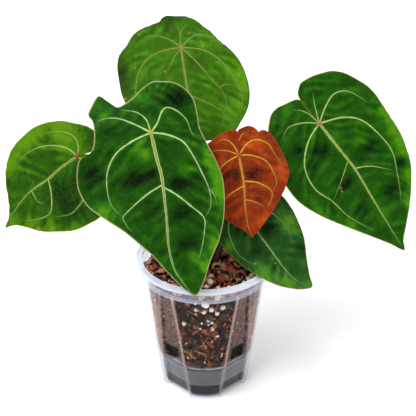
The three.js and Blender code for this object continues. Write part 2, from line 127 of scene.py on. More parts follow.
def lumps(points: Array, size: float, seed: int, count: int = 14) -> Array:
    """A smooth random field with about unit spread.

    The field is a sum of cosines of random directions and phases, whose wavelengths lie round the
    size asked for.

    Args:
        points: where to read it, shaped (..., dimensions).
        size: the usual wavelength, in the points' unit.
        seed: the seed of its directions and phases.
        count: how many cosines it has.

    Returns:
        One value for each point.
    """
    random = np.random.default_rng(seed)
    ways = random.normal(size=(count, points.shape[-1]))
    ways /= np.linalg.norm(ways, axis=1, keepdims=True)
    ways *= 2 * math.pi / (size * random.uniform(0.7, 1.5, (count, 1)))
    phases = random.uniform(0, 2 * math.pi, count)
    return np.cos(points @ ways.T + phases).sum(-1) * math.sqrt(2 / count)


def smooth(share: Array) -> Array:
    """A step that is 0 below 0, 1 above 1, and eases between as 3t^2 - 2t^3."""
    held = np.clip(share, 0, 1)
    return held * held * (3 - 2 * held)


def spline(knots: Array, per_span: int, closed: bool = False) -> Array:
    """A centripetal Catmull-Rom curve through its knots.

    Each span is a cubic whose end slopes follow from the neighbouring knots, with the knots spaced
    by the square root of their distance.

    Args:
        knots: the points it passes through, shaped (knots, dimensions).
        per_span: how many points each span gets.
        closed: whether it runs round to its start.

    Returns:
        Points along the curve, shaped (points, dimensions).
    """
    knots = np.asarray(knots, float)
    if closed:
        before, start = np.roll(knots, 1, 0), knots
        end, after = np.roll(knots, -1, 0), np.roll(knots, -2, 0)
    else:
        held = np.vstack([2 * knots[0] - knots[1], knots, 2 * knots[-1] - knots[-2]])
        before, start, end, after = held[:-3], held[1:-2], held[2:-1], held[3:]
    gap = [
        np.sqrt(np.linalg.norm(to - come, axis=1, keepdims=True))
        for come, to in ((before, start), (start, end), (end, after))
    ]
    leave = (start - before) / gap[0] - (end - before) / (gap[0] + gap[1]) + (end - start) / gap[1]
    reach = (end - start) / gap[1] - (after - start) / (gap[1] + gap[2]) + (after - end) / gap[2]
    t = (np.arange(per_span) / per_span)[:, None, None]
    curve = (
        (2 * t**3 - 3 * t**2 + 1) * start
        + (t**3 - 2 * t**2 + t) * leave * gap[1]
        + (3 * t**2 - 2 * t**3) * end
        + (t**3 - t**2) * reach * gap[1]
    )
    curve = curve.transpose(1, 0, 2).reshape(-1, knots.shape[1])
    return np.vstack([curve, curve[:1] if closed else knots[-1:]])


def arc_lengths(curve: Array) -> Array:
    """How far along the curve each of its points lies."""
    return np.concatenate([[0], np.cumsum(np.linalg.norm(np.diff(curve, axis=0), axis=1))])


def evenly(curve: Array, count: int) -> Array:
    """Points at equal distances along a curve.

    Args:
        curve: points along it, shaped (points, dimensions).
        count: how many points to return.

    Returns:
        The points, from its start to its end.
    """
    along = arc_lengths(curve)
    at = np.linspace(0, along[-1], count)
    return np.stack([np.interp(at, along, axis) for axis in curve.T], -1)


def unit(vectors: Array) -> Array:
    """The vectors at unit length."""
    return vectors / np.linalg.norm(vectors, axis=-1, keepdims=True)


def ring_angles(sides: int) -> Array:
    """The angles in radians of that many points round a ring."""
    return np.linspace(0, 2 * math.pi, sides, endpoint=False)


def around(radius: Array, turn: Array, height: Array) -> Array:
    """Points at a radius, an angle in radians and a height about the axis."""
    return np.stack(np.broadcast_arrays(radius * np.cos(turn), radius * np.sin(turn), height), -1)


def bells(a: Array, b: Array, rows: Sequence[Sequence[float]]) -> Array:
    """A sum of round hills, each size exp(-((a - across) / wide)^2 - ((b - along) / deep)^2).

    Args:
        a: across the midrib.
        b: along the midrib.
        rows: across, along, wide, deep and size of each hill.

    Returns:
        The sum at each point.
    """
    total = np.zeros_like(a)
    for across, along, wide, deep, size in rows:
        total += size * np.exp(-(((a - across) / wide) ** 2) - ((b - along) / deep) ** 2)
    return total


def tube(path: Array, radius: Array, sides: int, aside: Array) -> Array:
    """Rings of a round rod: the path plus radius times (cos, sin) across it.

    Args:
        path: its middle line, shaped (points, 3).
        radius: its radius at each point of the path, or at each point of each ring.
        sides: how many points a ring has.
        aside: a direction that the path never runs along.

    Returns:
        Rings, shaped (points, sides, 3).
    """
    ahead = unit(np.gradient(path, axis=0))
    left = unit(np.cross(np.broadcast_to(aside, path.shape), ahead))
    up = np.cross(ahead, left)
    turn = ring_angles(sides)
    spoke = np.cos(turn)[:, None] * left[:, None] + np.sin(turn)[:, None] * up[:, None]
    held = np.broadcast_to(np.reshape(radius, (len(path), -1)), (len(path), sides))
    return path[:, None] + spoke * held[..., None]


# Materials


def linear(colour: str) -> tuple[float, float, float, float]:
    """An sRGB colour such as '#1d5c12' as the linear colour that the shaders work in."""
    parts = [int(colour[i : i + 2], 16) / 255 for i in (1, 3, 5)]
    bright = [c / 12.92 if c <= 0.04045 else ((c + 0.055) / 1.055) ** 2.4 for c in parts]
    return (*bright, 1.0)


@dataclass
class Draft:
    """A material in the making: its main shader and where its patterns are read."""

    name: str
    material: bpy.types.Material = field(init=False)
    shader: bpy.types.Node = field(init=False)
    place: bpy.types.NodeSocket = field(init=False)

    def __post_init__(self) -> None:
        """Makes the empty material."""
        self.material = bpy.data.materials.new(self.name)
        self.material.use_nodes = True
        self.shader = self.material.node_tree.nodes["Principled BSDF"]
        self.place = self.add("TexCoord", output="Object")

    def wire(self, node: bpy.types.Node, inputs: dict[Any, Any]) -> None:
        """Sets or links a node's inputs.

        Args:
            node: the node.
            inputs: by name or number, an output to link to, the name of a value that the mesh's
                points carry, a colour such as '#1d5c12', or a plain value.
        """
        for name, value in inputs.items():
            if isinstance(value, str) and value.startswith("#"):
                value = linear(value)
            elif isinstance(value, str):
                value = self.add("Attribute", output="Fac", attribute_name=value)
            if isinstance(value, bpy.types.NodeSocket):
                self.material.node_tree.links.new(value, node.inputs[name])
            else:
                node.inputs[name].default_value = value

    def add(
        self, kind: str, inputs: dict[Any, Any] | None = None, output: int | str = 0,
        **settings: Any,
    ) -> bpy.types.NodeSocket:
        """Adds one node with its settings and links.

        Args:
            kind: its type, without ShaderNode before it.
            inputs: its inputs, as wire takes them.
            output: which of its outputs is wanted.
            **settings: its own properties. Stops is rows of (place, colour) for a colour ramp.

        Returns:
            That output.
        """
        node = self.material.node_tree.nodes.new(f"ShaderNode{kind}")
        for place, colour in settings.pop("stops", ()):
            marks = node.color_ramp.elements
            spare = [mark for mark in marks if mark.position == place]
            mark = spare[0] if spare else marks.new(place)
            mark.color = linear(colour) if isinstance(colour, str) else (colour,) * 3 + (1,)
        for name, value in settings.items():
            setattr(node, name, value)
        self.wire(node, inputs or {})
        return node.outputs[output]

    def finish(self, **inputs: Any) -> bpy.types.Material:
        """Sets the main shader's inputs, named with _ for a space, and returns the material."""
        self.wire(self.shader, {name.replace("_", " "): value for name, value in inputs.items()})
        return self.material


class Weight(Enum):
    """How large a vein is, with its crest over the upper face and under the lower, in mm."""

    MIDRIB = (0.5, 1.5)
    MAIN = (0.34, 0.8)
    FINE = (0.2, 0.4)


@dataclass(frozen=True)
class LeafTissue:
    """Upper and lower skin of an aroid blade: a satin cuticle over green cells."""

    name: str
    deep: str
    body: str
    light: str
    glow: str
    margin: str
    under: str
    halo: str
    net: float = 0.16
    roughness: float = 0.46
    spot: str = "#8a7a30"

    def build(self) -> bpy.types.Material:
        """A satin leaf skin whose colour follows its lit and shaded zones, veins and margin.

        Returns:
            The material.
        """
        # Fresh leaf: dielectric wax on coloured cells, so a broad soft highlight and deep colour.
        draft = Draft(self.name)
        add = draft.add
        plane = add("Attribute", output="Vector", attribute_name="plane")
        blotch = add(
            "TexNoise", {"Vector": plane, "Scale": METRE / 13, "Detail": 4, "Roughness": 0.66}
        )
        # The points' tone is painted light and shade: bands, ripples and lit and shaded zones.
        cloud = add("Math", {0: blotch, 1: 1.1, 2: "tone"}, operation="MULTIPLY_ADD")
        colour = add(
            "ValToRGB", {"Fac": add("MapRange", {0: cloud, 1: 0, 2: 1.1})},
            stops=[(0, self.deep), (0.5, self.body), (0.72, self.light), (1, self.glow)],
        )
        # Areoles, the cells between the finest veins, are about 2.5 mm across, and the veins
        # that bound groups of them about 9 mm apart.
        warp = add("TexNoise", {"Vector": plane, "Scale": METRE / 6, "Detail": 2}, "Color")
        bent = add("VectorMath", {0: warp, 1: (0.004,) * 3, 2: plane}, operation="MULTIPLY_ADD")
        cells = [
            add("TexVoronoi", {"Vector": bent, "Scale": METRE / size}, feature="DISTANCE_TO_EDGE")
            for size in (2.6, 9)
        ]
        fine = add("MapRange", {0: cells[0], 1: 0, 2: 0.12, 3: 0.5 * self.net, 4: 0})
        coarse = add("MapRange", {0: cells[1], 1: 0, 2: 0.05, 3: self.net, 4: 0})
        thread = add("Math", {0: fine, 1: coarse}, operation="MAXIMUM")
        for share, hue in (
            (thread, self.halo), ("halo", self.halo), ("margin", self.margin),
            ("under", self.under), ("spot", self.spot),
        ):
            colour = add("Mix", {"Factor": share, 6: colour, 7: hue}, 2, data_type="RGBA")
        # The blade puckers between its finest veins, in folds about 5 mm apart.
        pucker = add(
            "TexNoise", {"Vector": bent, "Scale": METRE / 5, "Detail": 3, "Roughness": 0.55}
        )
        grain = add("TexNoise", {"Vector": plane, "Scale": METRE / 0.7, "Detail": 2})
        relief = add("Math", {0: grain, 1: 0.35, 2: thread}, operation="MULTIPLY_ADD")
        relief = add("Math", {0: pucker, 1: 9, 2: relief}, operation="MULTIPLY_ADD")
        wax, dull = self.roughness - 0.06, self.roughness + 0.1
        return draft.finish(
            Base_Color=colour,
            Normal=add("Bump", {"Height": relief, "Strength": 0.5, "Distance": 0.0002}),
            Roughness=add("MapRange", {0: blotch, 1: 0.3, 2: 0.7, 3: wax, 4: dull}),
            IOR=1.42, Specular_IOR_Level=0.05,
        )


@dataclass(frozen=True)
class VeinTissue:
    """Pale ribs of a blade, waxier and smoother than the skin between them.

    Centre and edge are the colours across a rib, where only the midrib has a centre line.
    """

    name: str
    centre: str
    edge: str
    faint: str
    junction: str
    under: str

    def build(self) -> bpy.types.Material:
        """A rib with a coloured centre line, pale flanks and a coloured junction.

        Returns:
            The material.
        """
        # Vein sheath: few green cells, so pale and slightly glossy.
        draft = Draft(self.name)
        add = draft.add
        flank = add("MapRange", {0: "flank", 1: 0.25, 2: 0.75})
        colour = self.centre
        for share, hue in (
            (flank, self.edge), ("fade", self.faint), ("junction", self.junction)
        ):
            colour = add("Mix", {"Factor": share, 6: colour, 7: hue}, 2, data_type="RGBA")
        speck = add("TexNoise", {"Vector": draft.place, "Scale": METRE / 2.2, "Detail": 3})
        shade = add("MapRange", {0: speck, 1: 0.3, 2: 0.7, 3: 0.86, 4: 1.1})
        lit = add("VectorMath", {0: colour, 1: shade}, operation="MULTIPLY")
        return draft.finish(
            Base_Color=add("Mix", {"Factor": "under", 6: lit, 7: self.under}, 2, data_type="RGBA"),
            Normal=add("Bump", {"Height": speck, "Strength": 0.3, "Distance": 0.0002}),
            Roughness=0.45, IOR=1.42, Specular_IOR_Level=0.12,
        )


@dataclass(frozen=True)
class StalkTissue:
    """Skin of a leaf stalk: reddish and corky at its foot, green and waxy above."""

    name: str
    foot: str
    low: str
    middle: str
    top: str

    def build(self) -> bpy.types.Material:
        """A stalk skin that changes from its foot to its top, with fine flecks.

        Returns:
            The material.
        """
        # Living stalk: waxy green skin, flecked about 1 mm apart.
        draft = Draft(self.name)
        add = draft.add
        patch = add("TexNoise", {"Vector": draft.place, "Scale": METRE / 9, "Detail": 4})
        along = add("Math", {0: patch, 1: 0.22, 2: "along"}, operation="MULTIPLY_ADD")
        colour = add("ValToRGB", {"Fac": along}, stops=[
            (0, self.foot), (0.16, self.foot), (0.34, self.low), (0.7, self.middle), (1, self.top)
        ])
        fleck = add("TexNoise", {"Vector": draft.place, "Scale": METRE / 1.1, "Detail": 2})
        shade = add("MapRange", {0: fleck, 1: 0.3, 2: 0.7, 3: 0.8, 4: 1.15})
        return draft.finish(
            Base_Color=add("VectorMath", {0: colour, 1: shade}, operation="MULTIPLY"),
            Normal=add("Bump", {"Height": fleck, "Strength": 0.4, "Distance": 0.0003}),
            Roughness=0.44, IOR=1.42, Specular_IOR_Level=0.4,
        )


@dataclass(frozen=True)
class DryMatter:
    """Bark, charcoal, perlite or fibre: dry matter whose pieces differ in tone.

    Grain and depth are the size of its grain and of its pits in mm, and stretch is how much
    slower the grain changes along a piece.
    """

    name: str
    tones: tuple[str, ...]
    grain: float
    stretch: float
    roughness: float
    depth: float

    def build(self) -> bpy.types.Material:
        """A rough matter with a tone for each piece, grain and pits.

        Returns:
            The material.
        """
        # Dry porous matter: no gloss to speak of, grain as coarse as it needs to show.
        draft = Draft(self.name)
        add = draft.add
        own = add("Attribute", output="Vector", attribute_name="own")
        long = add("Mapping", {"Vector": own, "Scale": (self.stretch, 1, 1)})
        size = METRE / self.grain
        grain = add("TexNoise", {"Vector": long, "Scale": size, "Detail": 4, "Roughness": 0.65})
        tone = add("Math", {0: grain, 1: 0.5, 2: "tone"}, operation="MULTIPLY_ADD")
        last = len(self.tones) - 1
        return draft.finish(
            Base_Color=add(
                "ValToRGB", {"Fac": add("MapRange", {0: tone, 1: 0.15, 2: 1.35})},
                stops=[(i / last, hue) for i, hue in enumerate(self.tones)],
            ),
            Normal=add("Bump", {"Height": grain, "Strength": 0.7, "Distance": self.depth / METRE}),
            Roughness=self.roughness, Specular_IOR_Level=0.25,
        )


@dataclass(frozen=True)
class PaperyBract:
    """The dry brown sheath that wrapped a new leaf: thin, fibrous and papery."""

    name: str = "dry_cataphyll"
    dark: str = "#160604"
    brown: str = "#5a1e0a"
    pale: str = "#8a4020"

    def build(self) -> bpy.types.Material:
        """A fibrous brown paper with fibres about 0.9 mm apart that run up it.

        Returns:
            The material.
        """
        # Dead sheath: dry fibres with nothing between them, so streaked, dull and rough.
        draft = Draft(self.name)
        add = draft.add
        long = add("Mapping", {"Vector": draft.place, "Scale": (1, 1, 0.06)})
        fibre = add("TexNoise", {"Vector": long, "Scale": METRE / 0.9, "Detail": 4})
        return draft.finish(
            Base_Color=add("ValToRGB", {"Fac": fibre}, stops=[
                (0, self.dark), (0.4, self.dark), (0.58, self.brown), (1, self.pale)
            ]),
            Normal=add("Bump", {"Height": fibre, "Strength": 0.8, "Distance": 0.0004}),
            Roughness=0.7, Specular_IOR_Level=0.3,
        )


@dataclass(frozen=True)
class ClearPolypropylene:
    """Thin clear moulded polypropylene: see-through, a little milky, with a soft gloss.

    Each of milk, haze, tints and film is a row of (share of the height, value): how much light
    a skin scatters, how much more it scatters in a panel, its colour, and its colour in a panel.
    """

    name: str
    height: float
    milk: tuple[tuple[float, float], ...]
    haze: tuple[tuple[float, float], ...]
    tints: tuple[tuple[float, str], ...]
    panel_tints: tuple[tuple[float, str], ...]
    glancing: float = 0.23
    corner: float = 0.55
    roughness: float = 0.2
    clear: str = "#fbfcff"

    def build(self) -> bpy.types.Material:
        """See-through plastic, milkier in its thick parts, at corners and where seen aslant.

        Returns:
            The material.
        """
        # Clear polypropylene: index 1.49, and its crystals scatter a little white light.
        draft = Draft(self.name)
        add = draft.add
        height = add("SeparateXYZ", {0: draft.place}, "Z")
        share = add("MapRange", {0: height, 1: 0, 2: self.height / METRE})
        milk, haze, plain, panel_colour = (
            add("ValToRGB", {"Fac": share}, stops=rows)
            for rows in (self.milk, self.haze, self.tints, self.panel_tints)
        )
        # In the panels the plastic takes browner colours.
        tint = add("Mix", {"Factor": "panel", 6: plain, 7: panel_colour}, 2, data_type="RGBA")
        facing = add("LayerWeight", {"Blend": 0.5}, "Facing")
        aslant = add("MapRange", {0: facing, 1: 0.46, 2: 0.72}, interpolation_type="SMOOTHSTEP")
        cover = milk
        for what, strength in (("panel", haze), (aslant, self.glancing), ("corner", self.corner)):
            cover = add("Math", {0: what, 1: strength, 2: cover}, operation="MULTIPLY_ADD")
        # Scuffs and flow marks about 4 mm apart run up the wall.
        tall = add("Mapping", {"Vector": draft.place, "Scale": (1, 1, 0.3)})
        scuff = add("TexNoise", {"Vector": tall, "Scale": METRE / 4, "Detail": 2})
        marks = add("MapRange", {0: scuff, 1: 0.35, 2: 0.75, 3: 0.95, 4: 1.08})
        cover = add("Math", {0: cover, 1: marks}, operation="MULTIPLY", use_clamp=True)
        # The plastic is left clear over the air gaps at a panel's step, in runs about 7 mm long.
        breaks = add("TexNoise", {"Vector": draft.place, "Scale": METRE / 7, "Detail": 3})
        run = add("MapRange", {0: breaks, 1: 0.42, 2: 0.5})
        gap = add("Math", {0: "gap", 1: run}, operation="MULTIPLY")
        rest = add("Math", {0: 1, 1: gap}, operation="SUBTRACT")
        cover = add("Math", {0: cover, 1: rest}, operation="MULTIPLY")
        draft.finish(
            Base_Color=tint,
            Normal=add("Bump", {"Height": scuff, "Strength": 0.15, "Distance": 0.0003}),
            Roughness=self.roughness, IOR=1.49, Specular_IOR_Level=0.6,
        )
        clear = add("BsdfTransparent", {"Color": self.clear})
        mixed = add("MixShader", {0: cover, 1: clear, 2: draft.shader.outputs[0]})
        draft.wire(draft.material.node_tree.nodes["Material Output"], {"Surface": mixed})
        return draft.material


@dataclass(frozen=True)
class StillWater:
    """Near-black water that stands in the pot's base.

    Line is the two heights in metres that its green line of algae lies between.
    """

    name: str = "dark_water"
    deep: str = "#0b0b0d"
    rim: str = "#7d8228"
    line: tuple[float, float] = (0.0139, 0.0154)

    def build(self) -> bpy.types.Material:
        """A dark smooth liquid with a green line of algae at its top.

        Returns:
            The material.
        """
        # Standing water: index 1.33, near black, mirror smooth.
        draft = Draft(self.name)
        add = draft.add
        height = add("SeparateXYZ", {0: draft.place}, "Z")
        stain = add("TexNoise", {"Vector": draft.place, "Scale": METRE / 12, "Detail": 3})
        up = add("MapRange", {0: height, 1: self.line[0], 2: self.line[1]})
        line = add("ValToRGB", {"Fac": up}, stops=[(0, 0), (0.35, 1), (0.7, 1), (0.8, 0), (1, 0)])
        weak = add("Math", {0: line, 1: stain}, operation="MULTIPLY")
        return draft.finish(
            Base_Color=add("Mix", {"Factor": weak, 6: self.deep, 7: self.rim}, 2, data_type="RGBA"),
            Normal=add("Bump", {"Height": stain, "Strength": 0.1, "Distance": 0.0003}),
            Roughness=0.08, IOR=1.33,
        )


@dataclass(frozen=True)
class MouldedGrid:
    """The false bottom: translucent grey polypropylene, splashed by the mix."""

    name: str = "grey_polypropylene"
    grey: str = "#8d9298"
    stain: str = "#4b4038"

    def build(self) -> bpy.types.Material:
        """A grey moulded plastic with brown stains about 8 mm across.

        Returns:
            The material.
        """
        # Moulded grey plastic: an even soft gloss, dulled only by what has dried on it.
        draft = Draft(self.name)
        add = draft.add
        stain = add("TexNoise", {"Vector": draft.place, "Scale": METRE / 8, "Detail": 5})
        wet = add("MapRange", {0: stain, 1: 0.5, 2: 0.7})
        return draft.finish(
            Base_Color=add(
                "Mix", {"Factor": wet, 6: self.grey, 7: self.stain}, 2, data_type="RGBA"
            ),
            Normal=add("Bump", {"Height": stain, "Strength": 0.2, "Distance": 0.0003}),
            Roughness=0.4, IOR=1.49,
        )


@dataclass(frozen=True)
class StudioPaper:
    """The pale paper sweep that the pot stands on."""

    name: str = "white_paper"
    white: str = "#f6f6f6"

    def build(self) -> bpy.types.Material:
        """A matt white paper with a faint tooth.

        Returns:
            The material.
        """
        # Uncoated paper: pale, even and without gloss.
        draft = Draft(self.name)
        tooth = draft.add("TexNoise", {"Vector": draft.place, "Scale": METRE / 2, "Detail": 2})
        return draft.finish(
            Base_Color=self.white,
            Normal=draft.add("Bump", {"Height": tooth, "Strength": 0.05, "Distance": 0.0002}),
            Roughness=0.9, Specular_IOR_Level=0.1,
        )


# Putting a shape into the scene


def stand(name: str, data: bpy.types.ID) -> bpy.types.Object:
    """Adds an object of that name and data to the scene."""
    thing = bpy.data.objects.new(name, data)
    bpy.context.scene.collection.objects.link(thing)
    return thing


def mesh_of(name: str, shape: Shape) -> bpy.types.Mesh:
    """A mesh in metres, whose points carry the shape's values as attributes.

    Args:
        name: the mesh's name.
        shape: its surface, in millimetres about the pot's axis.

    Returns:
        The mesh.
    """
    mesh = bpy.data.meshes.new(name)
    corners = np.concatenate([face.ravel() for face in shape.faces]).astype(np.int32)
    sizes = np.concatenate([np.full(len(face), face.shape[1]) for face in shape.faces])
    starts = np.concatenate([[0], np.cumsum(sizes)[:-1]]).astype(np.int32)
    mesh.vertices.add(len(shape.points))
    mesh.vertices.foreach_set("co", (shape.points / METRE + POT_AXIS).astype(np.float32).ravel())
    mesh.loops.add(len(corners))
    mesh.loops.foreach_set("vertex_index", corners)
    mesh.polygons.add(len(starts))
    mesh.polygons.foreach_set("loop_start", starts)
    mesh.update(calc_edges=True)
    mesh.validate()
    for label, value in shape.values.items():
        kind, part = ("FLOAT", "value") if value.ndim == 1 else ("FLOAT_VECTOR", "vector")
        layer = mesh.attributes.new(label, kind, "POINT")
        layer.data.foreach_set(part, value.astype(np.float32).ravel())
    return mesh


def shade(mesh: bpy.types.Mesh, crease: float | None) -> None:
    """Shades a mesh smooth, but for edges that turn by more than crease degrees."""
    mesh.shade_smooth()
    if crease is not None:
        mesh.set_sharp_from_angle(angle=math.radians(crease))


def make_piece(
    name: str, shape: Shape, material: bpy.types.Material,
    replaces: Sequence[str] = (), crease: float | None = None,
) -> bpy.types.Object:
    """Puts a shape into the scene as a piece that rides on the object.

    Args:
        name: the piece's name.
        shape: its surface, in millimetres about the pot's axis.
        material: its finish.
        replaces: the CAD nodes that it stands for.
        crease: edges that turn by more than this many degrees are left sharp.

    Returns:
        The piece.
    """
    mesh = mesh_of(name, shape)
    shade(mesh, crease)
    mesh.materials.append(material)
    piece = stand(name, mesh)
    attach(piece, "root")
    if replaces:
        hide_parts(*replaces)
    LOG.info("%s: %d faces", name, len(mesh.polygons))
    return piece


# Leaves


@dataclass(frozen=True)
class Vein:
    """A rib of a blade: its line in the leaf's plane and its width where it starts, in mm."""

    weight: Weight
    width: float
    line: Rows


@dataclass(frozen=True)
class Leaf:
    """One leaf: a blade that is a height field over a plane through its junction, and its stalk.

    Junction and tip lie in the plane, and faces is a direction on the side that the upper face
    looks to. Outline, veins, zones and spots are [across, along] in that plane, in mm, and the
    stalk's route is in space. Lap is 1 where the lobe on the across side lies over the other at
    the sinus, -1 where it lies under, and 0 where they don't meet.
    """

    name: str
    junction: tuple[float, float, float]
    tip: tuple[float, float, float]
    faces: tuple[float, float, float]
    droop: float
    back: float
    arch: float
    waves: Rows
    bumps: Rows
    outline: Rows
    azimuth: float
    girth: float
    route: Rows
    veins: tuple[Vein, ...]
    # Zones are patches of painted light and shade on the upper face: across, along, wide, deep,
    # size.
    zones: Rows
    spots: Rows
    tissue: LeafTissue
    vein_tissue: VeinTissue
    stalk_tissue: StalkTissue
    columns: int
    rows: int
    seed: int
    lap: float = 0
    margin: float = 0.55
    thickness: float = 0.8
    band_pitch: float = 11
    band_slope: float = 0.65
    band_height: float = 0.38
    ripple_pitch: float = 6.5
    ripple_reach: float = 6.5
    ripple_height: float = 0.26
    groove_depth: float = 0.35
    halo_strength: float = 0.42
    under_strength: float = 0.92
    lap_reach: float = 0.035
    boss_radius: float = 1.9
    boss_height: float = 0.75
    stalk_ring: float = 10.8
    stalk_height: float = 121
    stalk_foot: float = 3.2
    stalk_radius: float = 1.9
    stalk_swell: float = 0.45
    stalk_bend: float = 9
    stalk_sides: int = 20
    vein_sides: int = 12

    def plane(self) -> tuple[Array, Array, Array, Array, float]:
        """The blade's own directions.

        Returns:
            Its junction, across, along and out of its upper face, and its midrib's length.
        """
        junction = np.array(self.junction, float)
        along = np.array(self.tip, float) - junction
        length = float(np.linalg.norm(along))
        along /= length
        out = np.array(self.faces, float)
        out = unit(out - (out @ along) * along)
        return junction, np.cross(out, along), along, out, length

    def rim(self) -> Array:
        """The outline as a closed curve in the plane."""
        return spline(np.array(self.outline), 12, closed=True)

    def share(self, a: Array, b: Array) -> Array:
        """How far out each point is.

        Args:
            a: across the midrib.
            b: along the midrib.

        Returns:
            Its share of the way from the junction, 0, to the outline, 1.
        """
        rim = self.rim()
        turn = np.arctan2(rim[:, 0], rim[:, 1])
        reach = np.interp(
            np.arctan2(a, b), turn[:-1], np.hypot(rim[:, 0], rim[:, 1])[:-1], period=2 * math.pi
        )
        return np.minimum(np.hypot(a, b) / reach, 1)

    def height(self, a: Array, b: Array, share: Array) -> Array:
        """The upper face over the plane: droop, turned-back lobes, arch, waves and bumps.

        Args:
            a: across the midrib.
            b: along the midrib.
            share: how far out the point is.

        Returns:
            -droop L (b/L)^2 ahead, -back L (-b/L)^1.5 behind, -2 arch L (a/L)^2, each wave
            size fade sin(count turn + phase), and each bump a bell.
        """
        length = self.plane()[4]
        far = b / length
        height = -self.droop * length * np.maximum(far, 0) ** 2
        height -= self.back * length * np.maximum(-far, 0) ** 1.5
        height -= 2 * self.arch * length * (a / length) ** 2
        turn = np.arctan2(a, b)
        reach = (a / length) ** 2 + far**2
        for size, count, phase in self.waves:
            fade = share ** (count / 2) * reach / (reach + 0.02)
            height += size * fade * np.sin(count * turn + phase)
        return height + bells(a, b, self.bumps)

    def vein_path(self, vein: Vein, spacing: float) -> Array:
        """The middle line of a vein in the plane, with points that far apart."""
        curve = spline(np.array(vein.line), 10)
        return evenly(curve, max(8, int(arc_lengths(curve)[-1] / spacing)))

    def vein_nearness(self, a: Array, b: Array) -> tuple[Array, Array]:
        """How near each point is to the veins.

        For each vein the distance to its chain of straight pieces is taken, and nearness is
        exp(-(distance / reach)^2), weaker towards the vein's end.

        Args:
            a: across the midrib.
            b: along the midrib.

        Returns:
            The pale halo beside the veins, and the groove that they lie in, each from 0 to 1.
        """
        point = np.stack([a.ravel(), b.ravel()], -1).astype(np.float32)
        halo = np.zeros(len(point), np.float32)
        groove = np.zeros(len(point), np.float32)
        for vein in self.veins:
            path = self.vein_path(vein, 3.5).astype(np.float32)
            step = np.diff(path, axis=0)
            offset = point[:, None] - path[:-1]
            t = np.clip((offset * step).sum(-1) / (step**2).sum(-1), 0, 1)
            gap = np.linalg.norm(offset - t[..., None] * step, axis=-1)
            near = gap.argmin(1)
            gap = gap[np.arange(len(point)), near]
            strength = 1 - 0.7 * (near / len(step)) ** 1.5
            pale, sunk = 0.9 + 0.6 * vein.width, 2.2 + vein.width
            halo = np.maximum(halo, strength * np.exp(-((gap / pale) ** 2)))
            groove = np.maximum(groove, strength * np.exp(-((gap / sunk) ** 2)))
        return halo.reshape(a.shape), groove.reshape(a.shape)

    def quilting(self, a: Array, b: Array, share: Array) -> tuple[Array, Array]:
        """Bands between the side veins, and ripples across the margin.

        Bands are cos(2 pi (b - slope |a| + warp) / pitch), so they slant from the midrib towards
        the tip. Ripples are a sine of the distance round the outline.

        Args:
            a: across the midrib.
            b: along the midrib.
            share: how far out the point is.

        Returns:
            The bands and the ripples, each from -1 to 1 and faded out where they don't reach.
        """
        place = np.stack([a, b], -1)
        warp = 2.2 * lumps(place, 34, self.seed + 4) + 0.3 * lumps(place, 9, self.seed + 5)
        slanted = b - self.band_slope * np.abs(a) + warp
        band = np.cos(2 * math.pi * slanted / self.band_pitch)
        rim = self.rim()
        turn = np.arctan2(rim[:, 0], rim[:, 1])
        around_rim = np.interp(np.arctan2(a, b), np.sort(turn), arc_lengths(rim)[np.argsort(turn)])
        warp = 0.6 * lumps(place, 20, self.seed + 6)
        ripple = np.sin(2 * math.pi * around_rim / self.ripple_pitch + warp)
        strength = np.clip(0.6 + 0.5 * lumps(place, 40, self.seed + 7), 0, 1.2)
        from_rim = np.hypot(a, b) * (1 / np.maximum(share, 0.01) - 1)
        edge = np.exp(-((from_rim / self.ripple_reach) ** 2))
        patchy = np.clip(0.7 + 0.5 * lumps(place, 30, self.seed + 8), 0, 1.3)
        return band * smooth(np.abs(a) / 7) * (1 - 0.8 * edge) * patchy, ripple * edge * strength

    def relief(self, a: Array, b: Array, share: Array, groove: Array) -> Array:
        """Fine relief: grooves at the veins, quilting between them and a rippled margin.

        Args:
            a: across the midrib.
            b: along the midrib.
            share: how far out the point is.
            groove: how near a vein it is.

        Returns:
            The height that it adds, in mm.
        """
        place = np.stack([a, b], -1)
        band, ripple = self.quilting(a, b, share)
        quilt = lumps(place, 13, self.seed) * 0.26 + lumps(place, 5.5, self.seed + 1) * 0.1
        return (
            (quilt + self.band_height * band) * (1 - groove) * smooth(share / 0.15)
            - self.groove_depth * groove * smooth(share / 0.08)
            + self.ripple_height * ripple
        )

    def place(self, a: Array, b: Array, height: Array) -> Array:
        """Points of the plane, lifted to their height over it, in space."""
        junction, across, along, out, _ = self.plane()
        return junction + a[..., None] * across + b[..., None] * along + height[..., None] * out

    def tone(self, a: Array, b: Array, share: Array) -> Array:
        """Painted light and shade: bands, ripples and zones, held between -0.9 and 0.9."""
        band, ripple = self.quilting(a, b, share)
        return 0.9 * np.tanh(0.17 * band + 0.12 * ripple + bells(a, b, self.zones))

    def from_rim(self, a: Array, b: Array, share: Array, rim: Array) -> Array:
        """The distance to the rim, or to the seam where one lobe lies over the other.

        Args:
            a: across the midrib.
            b: along the midrib.
            share: how far out the point is.
            rim: the outline's points, one for each column.

        Returns:
            The distance in mm, with the seam's counted 1.6 times.
        """
        distance = (1 - share) * np.hypot(rim[:, 0], rim[:, 1])
        if self.lap:
            reach = self.columns // 9
            seam = np.concatenate([rim[:reach], rim[-reach:]]).astype(np.float32)
            point = np.stack([a, b], -1).astype(np.float32)
            gap = np.linalg.norm(point[:, :, None] - seam, axis=-1).min(-1)
            distance = np.minimum(distance, 1.6 * gap)
        return distance

    def lapping(self, share: Array) -> Array:
        """How the lobes make way for each other where they overlap at the sinus.

        Args:
            share: how far out each point is.

        Returns:
            What lifts one lobe and lowers the other, in mm.
        """
        column = np.linspace(0, 1, self.columns, endpoint=False)
        first, last = (np.exp(-((far / self.lap_reach) ** 2)) for far in (column, 1 - column))
        over, beneath = (first, last) if self.lap > 0 else (last, first)
        return abs(self.lap) * (0.25 * over - 0.75 * beneath) * smooth((share - 0.2) / 0.3)

